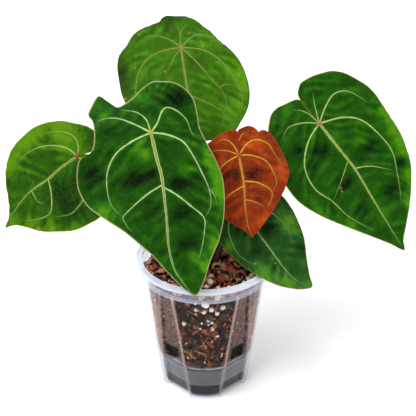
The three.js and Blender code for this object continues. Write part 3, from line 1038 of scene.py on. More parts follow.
    def blade_shape(self) -> Shape:
        """Both faces and the rim of the blade as one closed skin.

        The grid's columns follow the outline and its rows run from the junction out over the
        upper face, round the rim and back under to the junction: point = share times outline.

        Returns:
            The skin, with its tone of painted light and shade, halo, margin, underside and spots.
        """
        rim = evenly(self.rim(), self.columns + 1)[:-1]
        top = np.concatenate([np.linspace(0.02, 0.955, self.rows), [0.975, 0.988, 0.996]])
        low = np.concatenate([[0.996, 0.975], np.linspace(0.94, 0.02, self.rows // 3)])
        share = np.concatenate([top, [1.0, 1.002, 1.0], low])[:, None]
        depth = np.concatenate([np.zeros(len(top)), [0.1, 0.5, 0.9], np.ones(len(low))])[:, None]
        a, b = share * rim[:, 0], share * rim[:, 1]
        held = np.broadcast_to(np.minimum(share, 1), a.shape)
        upper = np.broadcast_to(depth < 0.5, a.shape)
        halo, groove = self.vein_nearness(a, b)
        thick = self.thickness * (1 - 0.45 * held**10)
        height = self.height(a, b, held) + self.relief(a, b, held, groove) - depth * thick
        spots = [(across, along, wide, wide, 1) for across, along, wide in self.spots]
        # The underside reads its patterns 0.3 m away, so that they aren't the upper face's.
        shape = skin(
            self.place(a, b, height + self.lapping(held)),
            {
                # Tone is painted light and shade, on the upper face only.
                "tone": self.tone(a, b, held) * upper,
                "halo": self.halo_strength * halo * upper,
                "margin": np.exp(-((self.from_rim(a, b, held, rim) / self.margin) ** 2)),
                "under": self.under_strength * ~upper,
                "spot": np.minimum(bells(a, b, spots), 1) * upper,
                "plane_a": a / METRE,
                "plane_b": b / METRE + 0.3 * ~upper,
            },
        )
        plane = [shape.values.pop("plane_a"), shape.values.pop("plane_b")]
        shape.values["plane"] = np.stack([*plane, np.zeros_like(plane[0])], -1)
        return shape

    def vein_shape(self, vein: Vein, under: bool) -> Shape:
        """A vein as a flattened rod that follows its line over a face of the blade.

        A ring of the rod is (cos, sin) times half its width across the line and its crest out of
        the face. Width and crest taper towards the end.

        Args:
            vein: the vein.
            under: whether it stands out of the lower face.

        Returns:
            The closed rod.
        """
        path = self.vein_path(vein, 1.6 if under else 0.9)
        along = np.linspace(0, 1, len(path))
        ahead = unit(np.gradient(path, axis=0))
        end = np.clip((1 - along) * 12, 0, 1) ** 0.5
        taper = (1 - 0.68 * along**1.25) * end
        knobs = 1 + 0.1 * lumps(path, 6, self.seed + 3)
        width = vein.width * taper * knobs * (1.15 if under else 0.9)
        crest = vein.weight.value[int(under)] * taper
        turn = ring_angles(self.vein_sides)
        side = np.cos(turn) * (-1 if under else 1)
        lift = np.where(np.sin(turn) > 0, np.sin(turn), 0.6 * np.sin(turn))
        a = path[:, :1] + ahead[:, 1:] * side * width[:, None] / 2
        b = path[:, 1:] - ahead[:, :1] * side * width[:, None] / 2
        share = self.share(a, b)
        groove = self.vein_nearness(a, b)[1]
        surface = self.height(a, b, share) + self.relief(a, b, share, groove)
        rise = lift * np.maximum(crest, 0.1)[:, None]
        height = surface - self.thickness - rise if under else surface + rise
        grid = np.ones_like(a)
        return skin(
            self.place(a, b, height),
            {
                "flank": grid * (np.abs(side) if vein.weight is Weight.MIDRIB else 1.0),
                "fade": grid * (0.9 * along**3)[:, None],
                "junction": np.exp(-((np.hypot(a, b) / 2.4) ** 2)),
                "under": grid * (0.9 if under else 0.0),
            },
        )

    def junction_shape(self) -> Shape:
        """The low boss where the veins meet: rings of a flattened dome over the junction.

        Returns:
            The dome, with seven low lobes.
        """
        rows = np.linspace(0, 1, 7)[:, None]
        turn = -ring_angles(32)
        radius = self.boss_radius * np.sin(rows * math.pi / 2 + 0.05)
        radius = radius * (1 + 0.16 * np.cos(turn * 7))
        a, b = radius * np.sin(-turn), radius * np.cos(turn)
        height = self.height(a, b, self.share(a, b))
        height = height + self.boss_height * np.cos(rows * math.pi / 2) - 0.15
        grid = np.ones_like(a)
        values = {"flank": 0.2, "fade": 0.0, "junction": 1 - 0.5 * rows, "under": 0.0}
        carried = {name: grid * value for name, value in values.items()}
        return skin(self.place(a, b, height), carried)

    def stalk_shape(self) -> Shape:
        """The stalk: a rod from the stem to the back of the junction.

        Its radius grows by a bell to stalk_foot at its foot, and by stalk_swell at its top.

        Returns:
            The closed rod.
        """
        junction, _, _, out, _ = self.plane()
        turn = math.radians(self.azimuth)
        foot = around(self.stalk_ring, turn, self.stalk_height)
        bend = junction - self.stalk_bend * self.girth * out
        knots = [foot, *self.route, bend, junction - 0.6 * out]
        path = evenly(spline(np.array(knots), 24), 110)
        along = np.linspace(0, 1, len(path))
        radius = self.stalk_radius * self.girth
        radius = (
            radius
            + (self.stalk_foot - radius) * np.exp(-((along / 0.13) ** 2))
            + self.stalk_swell * np.exp(-(((1 - along) / 0.08) ** 2))
        )
        aside = unit(np.cross(path[-1] - path[0], UP))
        ridged = radius[:, None] * (1 + 0.025 * np.cos(5 * ring_angles(self.stalk_sides)))
        rings = tube(path, ridged, self.stalk_sides, aside)
        return skin(rings, {"along": np.ones(rings.shape[:2]) * along[:, None]})

    def build(self) -> None:
        """Makes and dresses the blade, its veins and its stalk."""
        blade = f"blade_{self.name}"
        make_piece(f"leaf_{self.name}", self.blade_shape(), self.tissue.build(), [blade])
        rods = [self.junction_shape()]
        rods += [self.vein_shape(vein, under) for vein in self.veins for under in (False, True)]
        make_piece(f"veins_{self.name}", joined(rods), self.vein_tissue.build())
        make_piece(
            f"stalk_{self.name}", self.stalk_shape(), self.stalk_tissue.build(),
            [f"petiole_{self.name}"],
        )


# Pot and what stands in it


@dataclass
class ClearPot:
    """The clear lobed pot: four lobes with feet, four set-back panels, a band and a lip.

    Front and side edge are the degrees from the front, at the table and at the band, of a
    panel's two edges. The step at an edge starts before degrees ahead of it and is eased over
    eased degrees. Window is a window's width, height, foot, corner radius and azimuth, and punch
    is how near to the axis and how far from it the bar that cuts it reaches.
    """

    height: float = 125
    lip_radius: float = 60
    lip_height: float = 3.5
    lip_inner: float = 54.3
    band_radius: float = 55.8
    band_foot: float = 110.5
    shoulder_radius: float = 52.5
    foot_radius: float = 39.2
    wall: float = 1.2
    ledge: float = 32
    ledge_step: float = 0.4
    ledge_width: float = 1.4
    floor: float = 3.2
    foot_inset: float = 24
    foot_height: float = 2
    foot_mark: float = 0.001
    recess: float = 1.6
    front_edge: tuple[float, float] = (21.5, 34.5)
    side_edge: tuple[float, float] = (65, 49)
    before: float = 1.2
    eased: float = 2.8
    window: tuple[float, ...] = (15, 17, 34.8, 2.5, 43.5)
    punch: tuple[float, float] = (24, 70)
    crease: float = 38

    def share(self, height: Array) -> Array:
        """How far up the lobed body a height is, from 0 to 1."""
        return np.clip(height, 0, self.band_foot) / self.band_foot

    def radius(self, height: Array) -> Array:
        """The lobes' radius at a height."""
        return self.foot_radius + (self.shoulder_radius - self.foot_radius) * self.share(height)

    def edges(self, height: Array) -> list[Array]:
        """Degrees from the front, at a height, of the front and side edges of a panel."""
        share = self.share(height)
        return [low + (high - low) * share for low, high in (self.front_edge, self.side_edge)]

    def folded(self, azimuth: Array) -> Array:
        """Azimuths folded into the quarter of the pot that all others repeat, 0 to 90."""
        return np.abs((azimuth + 90) % 180 - 90)

    def azimuths(self, height: Array) -> Array:
        """Degrees from the front of each column, close together where a panel steps back.

        Args:
            height: the height of each row.

        Returns:
            Shaped (rows, columns), once round the pot.
        """
        front, side = (edge[:, None] for edge in self.edges(height))
        before, after = self.before, self.eased - self.before
        lobe = 1 - (1 - np.linspace(0, 1, 16, endpoint=False)) ** 1.7
        step = np.linspace(0, 1, 9, endpoint=False) * self.eased
        panel = np.linspace(0, 1, 22, endpoint=False)
        quarter = [lobe * (front - before), front - before + step]
        quarter += [front + after + panel * (side - front - 2 * after), side - after + step]
        quarter += [side + before + np.linspace(0, 1, 15) * (90 - side - before)]
        quarter = np.concatenate(quarter, axis=1)
        half = np.concatenate([quarter, 180 - quarter[:, -2:0:-1]], axis=1)
        return np.concatenate([half, half + 180], axis=1)

    def outline(self, azimuth: Array, height: Array) -> tuple[Array, Array]:
        """The lobed body at some azimuths and heights.

        A panel is the chord between two lobe ends, moved in by the recess, and the step between
        it and the lobe is eased.

        Args:
            azimuth: degrees from the front.
            height: millimetres over the table.

        Returns:
            The radius, and how much each place belongs to a panel.
        """
        folded = self.folded(azimuth)
        front, side = self.edges(height)
        radius = self.radius(height)
        middle, half = np.radians((front + side) / 2), np.radians((side - front) / 2)
        chord = radius * np.cos(half) - self.recess
        flat = chord / np.cos(np.radians(folded) - middle)
        panel = smooth((folded - front + self.before) / self.eased)
        panel = panel * smooth((side + self.before - folded) / self.eased)
        return radius + (np.minimum(flat, radius) - radius) * panel, panel

    def inner(self, azimuth: Array, height: Array) -> Array:
        """The radius of the inside of the wall, over the false bottom."""
        lobed = self.outline(azimuth, height)[0] * (1 - self.wall / self.radius(height))
        return np.where(height > self.band_foot + 1.4, self.lip_inner, lobed)

    def inside(self, azimuth: Array, height: Array, depth: float) -> Array:
        """Points that far in from the inside of the wall."""
        return around(self.inner(azimuth, height) - depth, np.radians(azimuth - 90), height)

    def ring_stack(self, stations: Sequence[Sequence[float]]) -> Array:
        """Rings through stations of the pot's profile.

        Args:
            stations: for each ring, the height whose outline it takes, its inset from that, its
                own radius where it is round (0 where it is lobed), and its level. A level under
                zero stands for the feet: it is minus the height over the table less foot_mark,
                and the panels are foot_height higher.

        Returns:
            Rings, shaped (stations, columns, 3).
        """
        height, inset, round_radius, level = np.array(stations, float).T[..., None]
        azimuth = self.azimuths(height[:, 0])
        lobed, panel = self.outline(azimuth, height)
        lobed = lobed * (1 - inset / self.radius(height))
        radius = np.where(round_radius > 0, round_radius, lobed)
        lifted = np.where(level < 0, -level - self.foot_mark + self.foot_height * panel, level)
        return around(radius, np.radians(azimuth - 90), lifted)

    def stations(self) -> list[tuple[float, float, float, float]]:
        """The wall's profile: under the floor, up the outside, over the lip and down inside.

        Returns:
            Stations as ring_stack takes them.
        """
        top, lip = self.height, self.height - self.lip_height
        band, foot, ledge = self.band_foot, self.foot_inset, self.ledge
        wide, rim, inner = self.band_radius, self.lip_radius, self.lip_inner
        lower = self.wall + self.ledge_width
        rows = [(0, 0, 4, self.foot_height), (0, 0, foot - 0.8, self.foot_height)]
        rows += [(0, 0, foot, -0.3), (0, 0, foot + 0.5, -self.foot_mark)]
        rounding = ((1.6, 0.0), (0.8, 0.12), (0.3, 0.4), (0.06, 0.8), (0.0, 1.2))
        rows += [(0, self.ledge_step + i, 0, -(j + self.foot_mark)) for i, j in rounding]
        rows += [(z, self.ledge_step, 0, z) for z in np.linspace(4, ledge, 12)]
        rows += [(ledge + 0.4, 0.2, 0, ledge + 0.4)]
        rows += [(z, 0, 0, z) for z in np.linspace(ledge + 0.8, band - 0.6, 34)]
        rows += [(band, 0, 0, band - 0.1)]
        lipped = [(wide - 1.6, band + 0.1), (wide - 0.3, band + 0.15), (wide, band + 0.5)]
        lipped += [(wide, z) for z in np.linspace(band + 2, lip - 0.4, 5)]
        lipped += [(wide + 0.3, lip), (rim - 0.5, lip), (rim - 0.1, lip + 0.2), (rim, lip + 0.7)]
        lipped += [(rim, top - 0.9), (rim - 0.25, top - 0.3), (rim - 0.9, top), (inner + 0.7, top)]
        lipped += [(inner + 0.15, top - 0.2)]
        lipped += [(inner, z) for z in (top - 0.7, top - 5, band + 2)]
        rows += [(band, 0, radius, level) for radius, level in lipped]
        rows += [(z, self.wall, 0, z + 1.2) for z in np.linspace(band, ledge, 34)[:-1]]
        rows += [(ledge, self.wall, 0, ledge + 1), (ledge, lower, 0, ledge + 0.9)]
        rows += [(z, lower, 0, z + self.floor) for z in np.linspace(27, 0, 10)]
        return rows + [(0, 0, 28, self.floor), (0, 0, 4, self.floor)]

    def shape(self) -> Shape:
        """The whole wall as one closed skin, with its panels, corners and air gaps.

        A corner is a bell over a panel's edge, and an air gap a flat-topped one beside it.

        Returns:
            The skin, before the windows are cut.
        """
        stations = self.stations()
        height, _, round_radius, _ = np.array(stations).T[..., None]
        azimuth = self.azimuths(height[:, 0])
        lobed = round_radius == 0
        front, side = self.edges(height)
        folded = self.folded(azimuth)
        corner = np.exp(-(((folded - front + 1.7) / 0.65) ** 2))
        corner += 0.6 * np.exp(-(((folded - side - 0.2) / 0.6) ** 2))
        corner *= 0.5 + 0.5 * smooth((height - 26) / 16)
        gap = smooth((height - 34) / 6) * smooth((108 - height) / 6)
        gap = gap * np.exp(-(((folded - side + 2.6) / 1.7) ** 4))
        panel = self.outline(azimuth, height)[1]
        values = {"panel": panel * lobed, "corner": corner * lobed, "gap": gap * lobed}
        return skin(self.ring_stack(stations), values)

    def window_punch(self) -> Shape:
        """Four rounded bars, one for each drain window, that reach through the panels.

        A bar is a rounded oblong, carried outwards along the panel's azimuth.

        Returns:
            The bars as one shape.
        """
        wide, tall, foot, corner, azimuth = self.window
        turn = ring_angles(32) + 1e-3
        across = np.cos(turn) * corner + np.sign(np.cos(turn)) * (wide / 2 - corner)
        up = np.sin(turn) * corner + np.sign(np.sin(turn)) * (tall / 2 - corner) + foot + tall / 2
        reach = np.array(self.punch, float)[:, None]
        ring = np.stack(np.broadcast_arrays(across, -reach, up), -1)
        bars = []
        for degrees in (azimuth, -azimuth, 180 - azimuth, 180 + azimuth):
            c, s = math.cos(math.radians(degrees)), math.sin(math.radians(degrees))
            bars.append(skin(ring @ np.array([[c, s, 0], [-s, c, 0], [0, 0, 1]])))
        return joined(bars)

    def plastic(self) -> ClearPolypropylene:
        """The pot's plastic, by the share of its height.

        Returns:
            Its finish, milky in the base, the band and the lip, with browner colours in the panels.
        """
        base = ((0, "#c4c4c8"), (0.25, "#c8cad2"))
        head = (1, "#e2e8f6")
        return ClearPolypropylene(
            "clear_polypropylene",
            self.height,
            milk=(
                (0, 0.012), (0.122, 0.012), (0.127, 0.095), (0.25, 0.105), (0.262, 0.017),
                (0.872, 0.017), (0.88, 0.26), (0.893, 0.26), (0.902, 0.11), (0.965, 0.14),
                (0.975, 0.45), (1, 0.55),
            ),
            haze=(
                (0, 0), (0.12, 0), (0.127, 0.03), (0.255, 0.03), (0.27, 0.15), (0.55, 0.2),
                (0.86, 0.26), (0.88, 0), (1, 0),
            ),
            tints=(*base, (0.29, "#c6ab9c"), (0.8, "#ccb2a4"), (0.89, "#dfe5f4"), head),
            panel_tints=(
                *base, (0.262, "#72584c"), (0.55, "#806258"), (0.86, "#8a6c60"),
                (0.88, "#dfe5f4"), head,
            ),
        )

    def build(self) -> None:
        """Makes the pot, cuts its windows, and dresses it."""
        plastic = self.plastic().build()
        pot = make_piece("clear_pot", self.shape(), plastic, ["pot"], self.crease)
        cutter = stand("window_punch", mesh_of("window_punch", self.window_punch()))
        cut = pot.modifiers.new("windows", "BOOLEAN")
        cut.operation, cut.solver, cut.object = "DIFFERENCE", "EXACT", cutter
        graph = bpy.context.evaluated_depsgraph_get()
        opened = bpy.data.meshes.new_from_object(pot.evaluated_get(graph))
        pot.modifiers.clear()
        pot.data = opened
        bpy.data.objects.remove(cutter)
        shade(opened, self.crease)
        LOG.info("clear_pot with windows: %d faces", len(opened.polygons))


@dataclass
class PotBase:
    """The standing water and the perforated false bottom in the pot's base."""

    pot: ClearPot
    level: float = 15.5
    gap: float = 0.3

    def water_shape(self) -> Shape:
        """The water: rings just inside the base's wall, from its floor to its level.

        Returns:
            The closed body of water.
        """
        pot = self.pot
        inset = pot.wall + pot.ledge_width + self.gap
        low, high = pot.floor + self.gap, self.level
        outline = pot.ledge * (high - pot.floor) / (pot.ledge - pot.floor)
        stations = [(0, 0, 3, low), (0, 0, 25, low), (0, inset, 0, low)]
        stations += [(outline * t, inset, 0, low + (high - low) * t) for t in (0.25, 0.5, 0.75)]
        stations += [(outline, inset, 0, high), (outline, inset + 1.2, 0, high - 0.25)]
        stations += [(0, 0, 25, high - 0.3), (0, 0, 3, high - 0.3)]
        return skin(pot.ring_stack(stations))

    def build(self) -> None:
        """Makes the water and dresses the false bottom."""
        water = StillWater().build()
        make_piece("standing_water", self.water_shape(), water, ["water"], 50)
        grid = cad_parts["false_bottom"]
        grid.data.materials.clear()
        grid.data.materials.append(MouldedGrid().build())


class Chunk(Enum):
    """Loose pieces of the mix: the base shape's roundness and roughness."""

    BARK = (0.25, 0.16)
    PERLITE = (0.8, 0.1)
    CHARCOAL = (0.35, 0.12)


@dataclass
class PottingMix:
    """The chunky mix: a dark core, with bark, charcoal, perlite and fibres over it."""

    pot: ClearPot
    foot: float = 35.1
    edge: float = 113.4
    middle: float = 116.2
    core_inset: float = 3.4
    wall_top: float = 112
    seed: int = 11

    def surface(self, radius: Array) -> Array:
        """The height of the mix's surface at a distance from the axis."""
        return self.middle + (self.edge - self.middle) * (radius / self.pot.lip_inner) ** 2

    def core_shape(self) -> Shape:
        """The fine dark body of the mix: rings inside the wall, then over the top, all lumpy.

        Returns:
            The closed body, with a tone and a place of its own for its grain.
        """
        pot = self.pot
        inset = pot.wall + self.core_inset
        stations = [(pot.ledge, 0, 8, self.foot), (pot.ledge, inset + 3, 0, self.foot)]
        stations += [(z, inset, 0, z) for z in np.linspace(self.foot, 110, 64)]
        radii = (pot.lip_inner - 3.2, *np.linspace(49, 2, 26))
        stations += [(110, 0, radius, self.surface(radius) - 2.2) for radius in radii]
        rings = pot.ring_stack(stations)
        bumps = lumps(rings, 7, self.seed) * 0.7 + lumps(rings, 3.2, self.seed + 1) * 0.35
        rings = rings + unit(rings - [0, 0, 80]) * (bumps - 0.4)[..., None]
        shape = skin(rings, {"tone": 0.5 + 0.25 * lumps(rings, 9, self.seed + 2)})
        shape.values["own"] = shape.points / METRE
        return shape

    def cube_ball(self) -> tuple[Array, Array]:
        """A cube with each side in four, whose points lie from -1 to 1.

        Returns:
            Its 26 points and 24 faces.
        """
        points = np.stack(np.meshgrid(*[[-1, 0, 1]] * 3, indexing="ij"), -1).reshape(-1, 3)
        shell = np.abs(points).max(1) == 1
        faces = []
        for axis in range(3):
            for end in (0, 2):
                index = np.arange(27).reshape(3, 3, 3).take(end, axis)
                near, far = (index[:-1, :-1], index[1:, :-1]), (index[1:, 1:], index[:-1, 1:])
                quads = np.stack([*near, *far], -1)
                turned = (end == 2) != (axis == 1)
                faces.append(quads.reshape(-1, 4)[:, :: 1 if turned else -1])
        return points[shell].astype(float), (np.cumsum(shell) - 1)[np.concatenate(faces)]

    def chunks(self, kind: Chunk, centre: Array, size: Array, turn: Array, seed: int) -> Shape:
        """Many loose pieces of one kind.

        Each piece is the cube ball, drawn towards a sphere by its roundness, roughened, sized,
        turned and moved. No point goes further out than just inside the pot's wall.

        Args:
            kind: which matter they are.
            centre: their middles, shaped (pieces, 3).
            size: their half sizes, shaped (pieces, 3).
            turn: their axes, shaped (pieces, 3, 3).
            seed: the seed of their roughness and tone.

        Returns:
            The pieces as one shape.
        """
        random = np.random.default_rng(seed)
        roundness, roughness = kind.value
        base, faces = self.cube_ball()
        ball = base * (1 - roundness) * 0.82 + unit(base) * roundness
        count = len(centre)
        rough = 1 + roughness * random.normal(size=(count, len(base), 3)).clip(-2, 2)
        local = ball * rough * size[:, None]
        points = np.einsum("nvi,nij->nvj", local, turn) + centre[:, None]
        x, y, z = np.moveaxis(points, -1, 0)
        limit = self.pot.inner(np.degrees(np.arctan2(x, -y)), z) - 0.3
        held = np.minimum(1, limit / np.maximum(np.hypot(x, y), 1e-6))
        points[..., :2] *= held[..., None]
        points[..., 2] = np.maximum(z, self.foot - 0.2)
        starts = np.arange(count)[:, None, None] * len(base)
        tone = np.repeat(random.uniform(0, 1, count), len(base))
        own = local / METRE + random.uniform(-0.05, 0.05, (count, 1, 3))
        faces = [(faces[None] + starts).reshape(-1, 4)]
        return Shape(points.reshape(-1, 3), faces, {"tone": tone, "own": own.reshape(-1, 3)})

    def at_wall(self, count: int, low: float, high: float, depth: float, seed: int) -> Array:
        """Random middles just inside the wall.

        None lies in a drain window, behind which the mix is fine and dark.

        Args:
            count: how many.
            low: the lowest height.
            high: the greatest height.
            depth: how far in from the wall they lie.
            seed: the seed.

        Returns:
            The middles, shaped (count, 3).
        """
        random = np.random.default_rng(seed)
        azimuth = random.uniform(0, 360, count)
        height = low + (high - low) * random.beta(1.1, 1.4, count)
        wide, tall, foot, _, middle = self.pot.window
        beside = np.abs(self.pot.folded(azimuth) - middle) < wide / 2 + 4
        height = np.where(beside & (height < foot + tall + 2), height + tall + 4, height)
        return self.pot.inside(azimuth, height, depth)

    def on_top(self, count: int, seed: int) -> Array:
        """Random middles over the surface, evenly by area, clear of the stem.

        Args:
            count: how many.
            seed: the seed.

        Returns:
            The middles, shaped (count, 3).
        """
        random = np.random.default_rng(seed)
        radius = np.sqrt(random.uniform(9**2, 52**2, count))
        turn = random.uniform(0, 2 * math.pi, count)
        return around(radius, turn, self.surface(radius) + random.uniform(-0.8, 0.8, count))

    def axes(self, side: Array, top: Array, loose: float, seed: int) -> Array:
        """Axes of pieces that lie nearly flat against the wall or the surface.

        Args:
            side: the middles of those at the wall, which bear outwards.
            top: the middles of those on the surface, which bear upwards.
            loose: how far a piece may lean, from 0 to 1.
            seed: the seed.

        Returns:
            Three unit rows for each piece: its long, wide and thin directions.
        """
        random = np.random.default_rng(seed)
        outward = np.concatenate([unit(side * [1, 1, 0]), np.tile(UP, (len(top), 1))])
        thin = unit(outward + loose * random.normal(size=outward.shape))
        long = unit(np.cross(thin, random.normal(size=outward.shape)))
        return np.stack([long, np.cross(thin, long), thin], 1)

    def scatter(
        self, kind: Chunk, wall: int, top: int, small: Sequence[float], large: Sequence[float],
        loose: float, seed: int, depth: float, pale: float = 0,
    ) -> Shape:
        """One kind of piece, both against the wall and over the surface.

        Args:
            kind: which matter.
            wall: how many lie against the wall.
            top: how many lie over the surface.
            small: length, width and thickness of the smallest, in mm.
            large: the same of the largest.
            loose: how far a piece may lean.
            seed: the seed.
            depth: how far in from the wall their middles lie.
            pale: how much paler than usual they are; a lift on the surface is painted light.

        Returns:
            The pieces as one shape.
        """
        side = self.at_wall(wall, self.foot + 1, self.wall_top, depth, seed)
        over = self.on_top(top, seed + 1)
        size = np.random.default_rng(seed + 2).uniform(small, large, (wall + top, 3)) / 2
        turn = self.axes(side, over, loose, seed + 3)
        shape = self.chunks(kind, np.concatenate([side, over]), size, turn, seed + 4)
        shape.values["tone"] += pale
        return shape

    def seen_perlite(self) -> Shape:
        """The grains that stand out behind the wall and on the surface, where they are seen.

        Those at the wall are rows of azimuth, height and size, and those on top of x, y and size.

        Returns:
            The grains as one shape.
        """
        wall = np.array(
            [
                [6.6, 100.7, 4.6], [18.2, 101.4, 4.8], [-0.9, 98.5, 4.0], [12.5, 96.0, 4.2],
                [-8.6, 100.5, 4.0], [3.5, 88.8, 2.4], [7.2, 86.6, 3.2], [8.1, 79.3, 4.0],
                [-5.0, 80.0, 2.6], [-22.2, 83.1, 4.2], [0.5, 105.8, 6.4], [11.9, 115.2, 6.0],
                [3.6, 84.6, 2.2], [11, 112, 4.4], [-9, 95.5, 2.2], [14, 71, 2.6],
            ]
        )
        top = np.array(
            [
                [5.3, -21.5, 4.8], [4.6, -30.5, 5.4], [1, -37.2, 4.0], [11.3, -15.8, 3.4],
                [11.1, -38.8, 3.8], [36.9, -23.6, 4.6], [39.7, -18.1, 4.0], [43.1, -13.8, 4.4],
                [33, -29, 3.2], [-34, -31, 4.4], [-22, -40, 3.6], [20, -37, 3.0],
            ]
        )
        side = self.pot.inside(wall[:, 0], wall[:, 1], 1.4)
        x, y, _ = top.T
        over = np.column_stack([x, y, self.surface(np.hypot(x, y)) + 1.6])
        size = np.concatenate([wall, top])[:, 2:] / 2 * [1.1, 0.95, 0.85]
        turn = self.axes(side, over, 0.3, 71)
        return self.chunks(Chunk.PERLITE, np.concatenate([side, over]), size, turn, 72)

    def seen_bark(self) -> Shape:
        """The round knob and the curled strip of bark that lie in the gap between the leaves.

        The knob is a lumpy ball, and the strip a flattened rod on a curled path.

        Returns:
            Both as one shape.
        """
        angle = np.linspace(0.15, math.pi - 0.15, 12)[:, None]
        ball = around(np.sin(angle), ring_angles(18), -np.cos(angle))
        ball *= 3.5 * (1 + 0.08 * lumps(ball, 0.9, 75))[..., None]
        knob = skin(ball + [13.4, -27.6, 118.2], {"tone": np.full(ball.shape[:2], 0.45)})
        route = np.array(
            [[9, -10, 117], [6.6, -12.5, 120], [9, -9, 122], [13.5, -9, 121], [17, -13, 119.6],
             [22, -17, 120.4], [25, -20, 119.4], [24.6, -25, 116.6]]
        )
        path = evenly(spline(route, 12), 48) + [0, 0, 0.5]
        along = np.linspace(0, 1, 48)
        radius = 2.2 * (1 + 0.2 * lumps(path, 5, 76)) * np.sin(math.pi * (0.06 + 0.9 * along))
        tone = np.full((48, 12), 1.25) - 0.6 * smooth((along - 0.45) / 0.2)[:, None]
        strip = skin(tube(path, radius, 12, np.array([0.2, 0.3, 1.0])), {"tone": tone})
        both = joined([knob, strip])
        both.values["own"] = both.points / METRE
        return both

    def fibre_shape(self, count: int, seed: int) -> Shape:
        """Thin fibres and rootlets against the wall: bent rods on short arcs.

        Args:
            count: how many.
            seed: the seed.

        Returns:
            The rods as one shape.
        """
        random = np.random.default_rng(seed)
        start = self.at_wall(count, self.foot + 4, 108, 1.0, seed)
        azimuth = np.degrees(np.arctan2(start[:, 0], -start[:, 1]))
        reach = random.uniform(4, 13, count)
        slope = random.uniform(-1.2, 1.2, count)
        bend = random.uniform(-2.5, 2.5, count)
        t = np.linspace(-0.5, 0.5, 8)
        rods = []
        for i in range(count):
            height = start[i, 2] + reach[i] * np.sin(slope[i]) * t + bend[i] * (4 * t * t - 1)
            swing = azimuth[i] + np.degrees(reach[i] * np.cos(slope[i]) * t / 48)
            path = self.pot.inside(swing, np.clip(height, self.foot, self.wall_top), 0.75)
            thick = random.uniform(0.22, 0.5) * (1 - 0.5 * (2 * t) ** 2)
            rods.append(skin(tube(path, thick, 5, unit(path[4] * [1, 1, 0]))))
        shape = joined(rods)
        shape.values["tone"] = np.repeat(random.uniform(0, 1, count), len(rods[0].points))
        shape.values["own"] = shape.points / METRE
        return shape

    def build(self) -> None:
        """Makes the core and every kind of loose piece, and dresses them."""
        bark_tones = ("#2a1109", "#602a18", "#93472c", "#b66a45", "#cb9b70")
        core = DryMatter("damp_peat", ("#050303", "#0e0705", "#1c100b"), 1.6, 1, 0.9, 0.6)
        bark = DryMatter("pine_bark", bark_tones, 1.4, 0.3, 0.85, 0.5)
        stone = DryMatter("perlite", ("#c9a67c", "#efdec2", "#fdf6ea"), 1.2, 1, 0.8, 0.5)
        coal = DryMatter("charcoal", ("#121113", "#211f22", "#35323a"), 1.3, 0.6, 0.55, 0.4)
        husk = DryMatter("coir_fibre", ("#3a1f10", "#80501f", "#b98a3a"), 1.0, 1, 0.7, 0.2)
        make_piece("mix_core", self.core_shape(), core.build(), ["potting_mix"])
        # Large and small flakes against the wall, darker, then large and small ones on the surface,
        # made paler as painted light.
        flakes = [
            self.seen_bark(),
            self.scatter(Chunk.BARK, 200, 0, (3.4, 2, 1.2), (8.5, 4, 2.4), 0.3, 21, 1.7, -0.25),
            self.scatter(Chunk.BARK, 900, 0, (1.4, 0.8, 0.7), (4, 2, 1.2), 0.5, 31, 1.0, -0.25),
            self.scatter(Chunk.BARK, 0, 190, (4, 3, 1.6), (10, 6.5, 3.4), 0.4, 25, 1.8, 0.3),
            self.scatter(Chunk.BARK, 0, 260, (2, 1.4, 1), (5, 3, 2), 0.6, 35, 1.2, 0.4),
        ]
        make_piece("mix_bark", joined(flakes), bark.build(), crease=50)
        pieces = self.scatter(Chunk.CHARCOAL, 260, 90, (3, 2.5, 1.6), (8, 6, 3), 0.4, 41, 2.0)
        make_piece("mix_charcoal", pieces, coal.build(), crease=50)
        grains = [
            self.seen_perlite(),
            self.scatter(Chunk.PERLITE, 70, 10, (0.8, 0.8, 0.7), (2.6, 2.4, 2), 0.4, 51, 1.1),
        ]
        make_piece("mix_perlite", joined(grains), stone.build(), crease=70)
        make_piece("mix_fibre", self.fibre_shape(90, 61), husk.build())


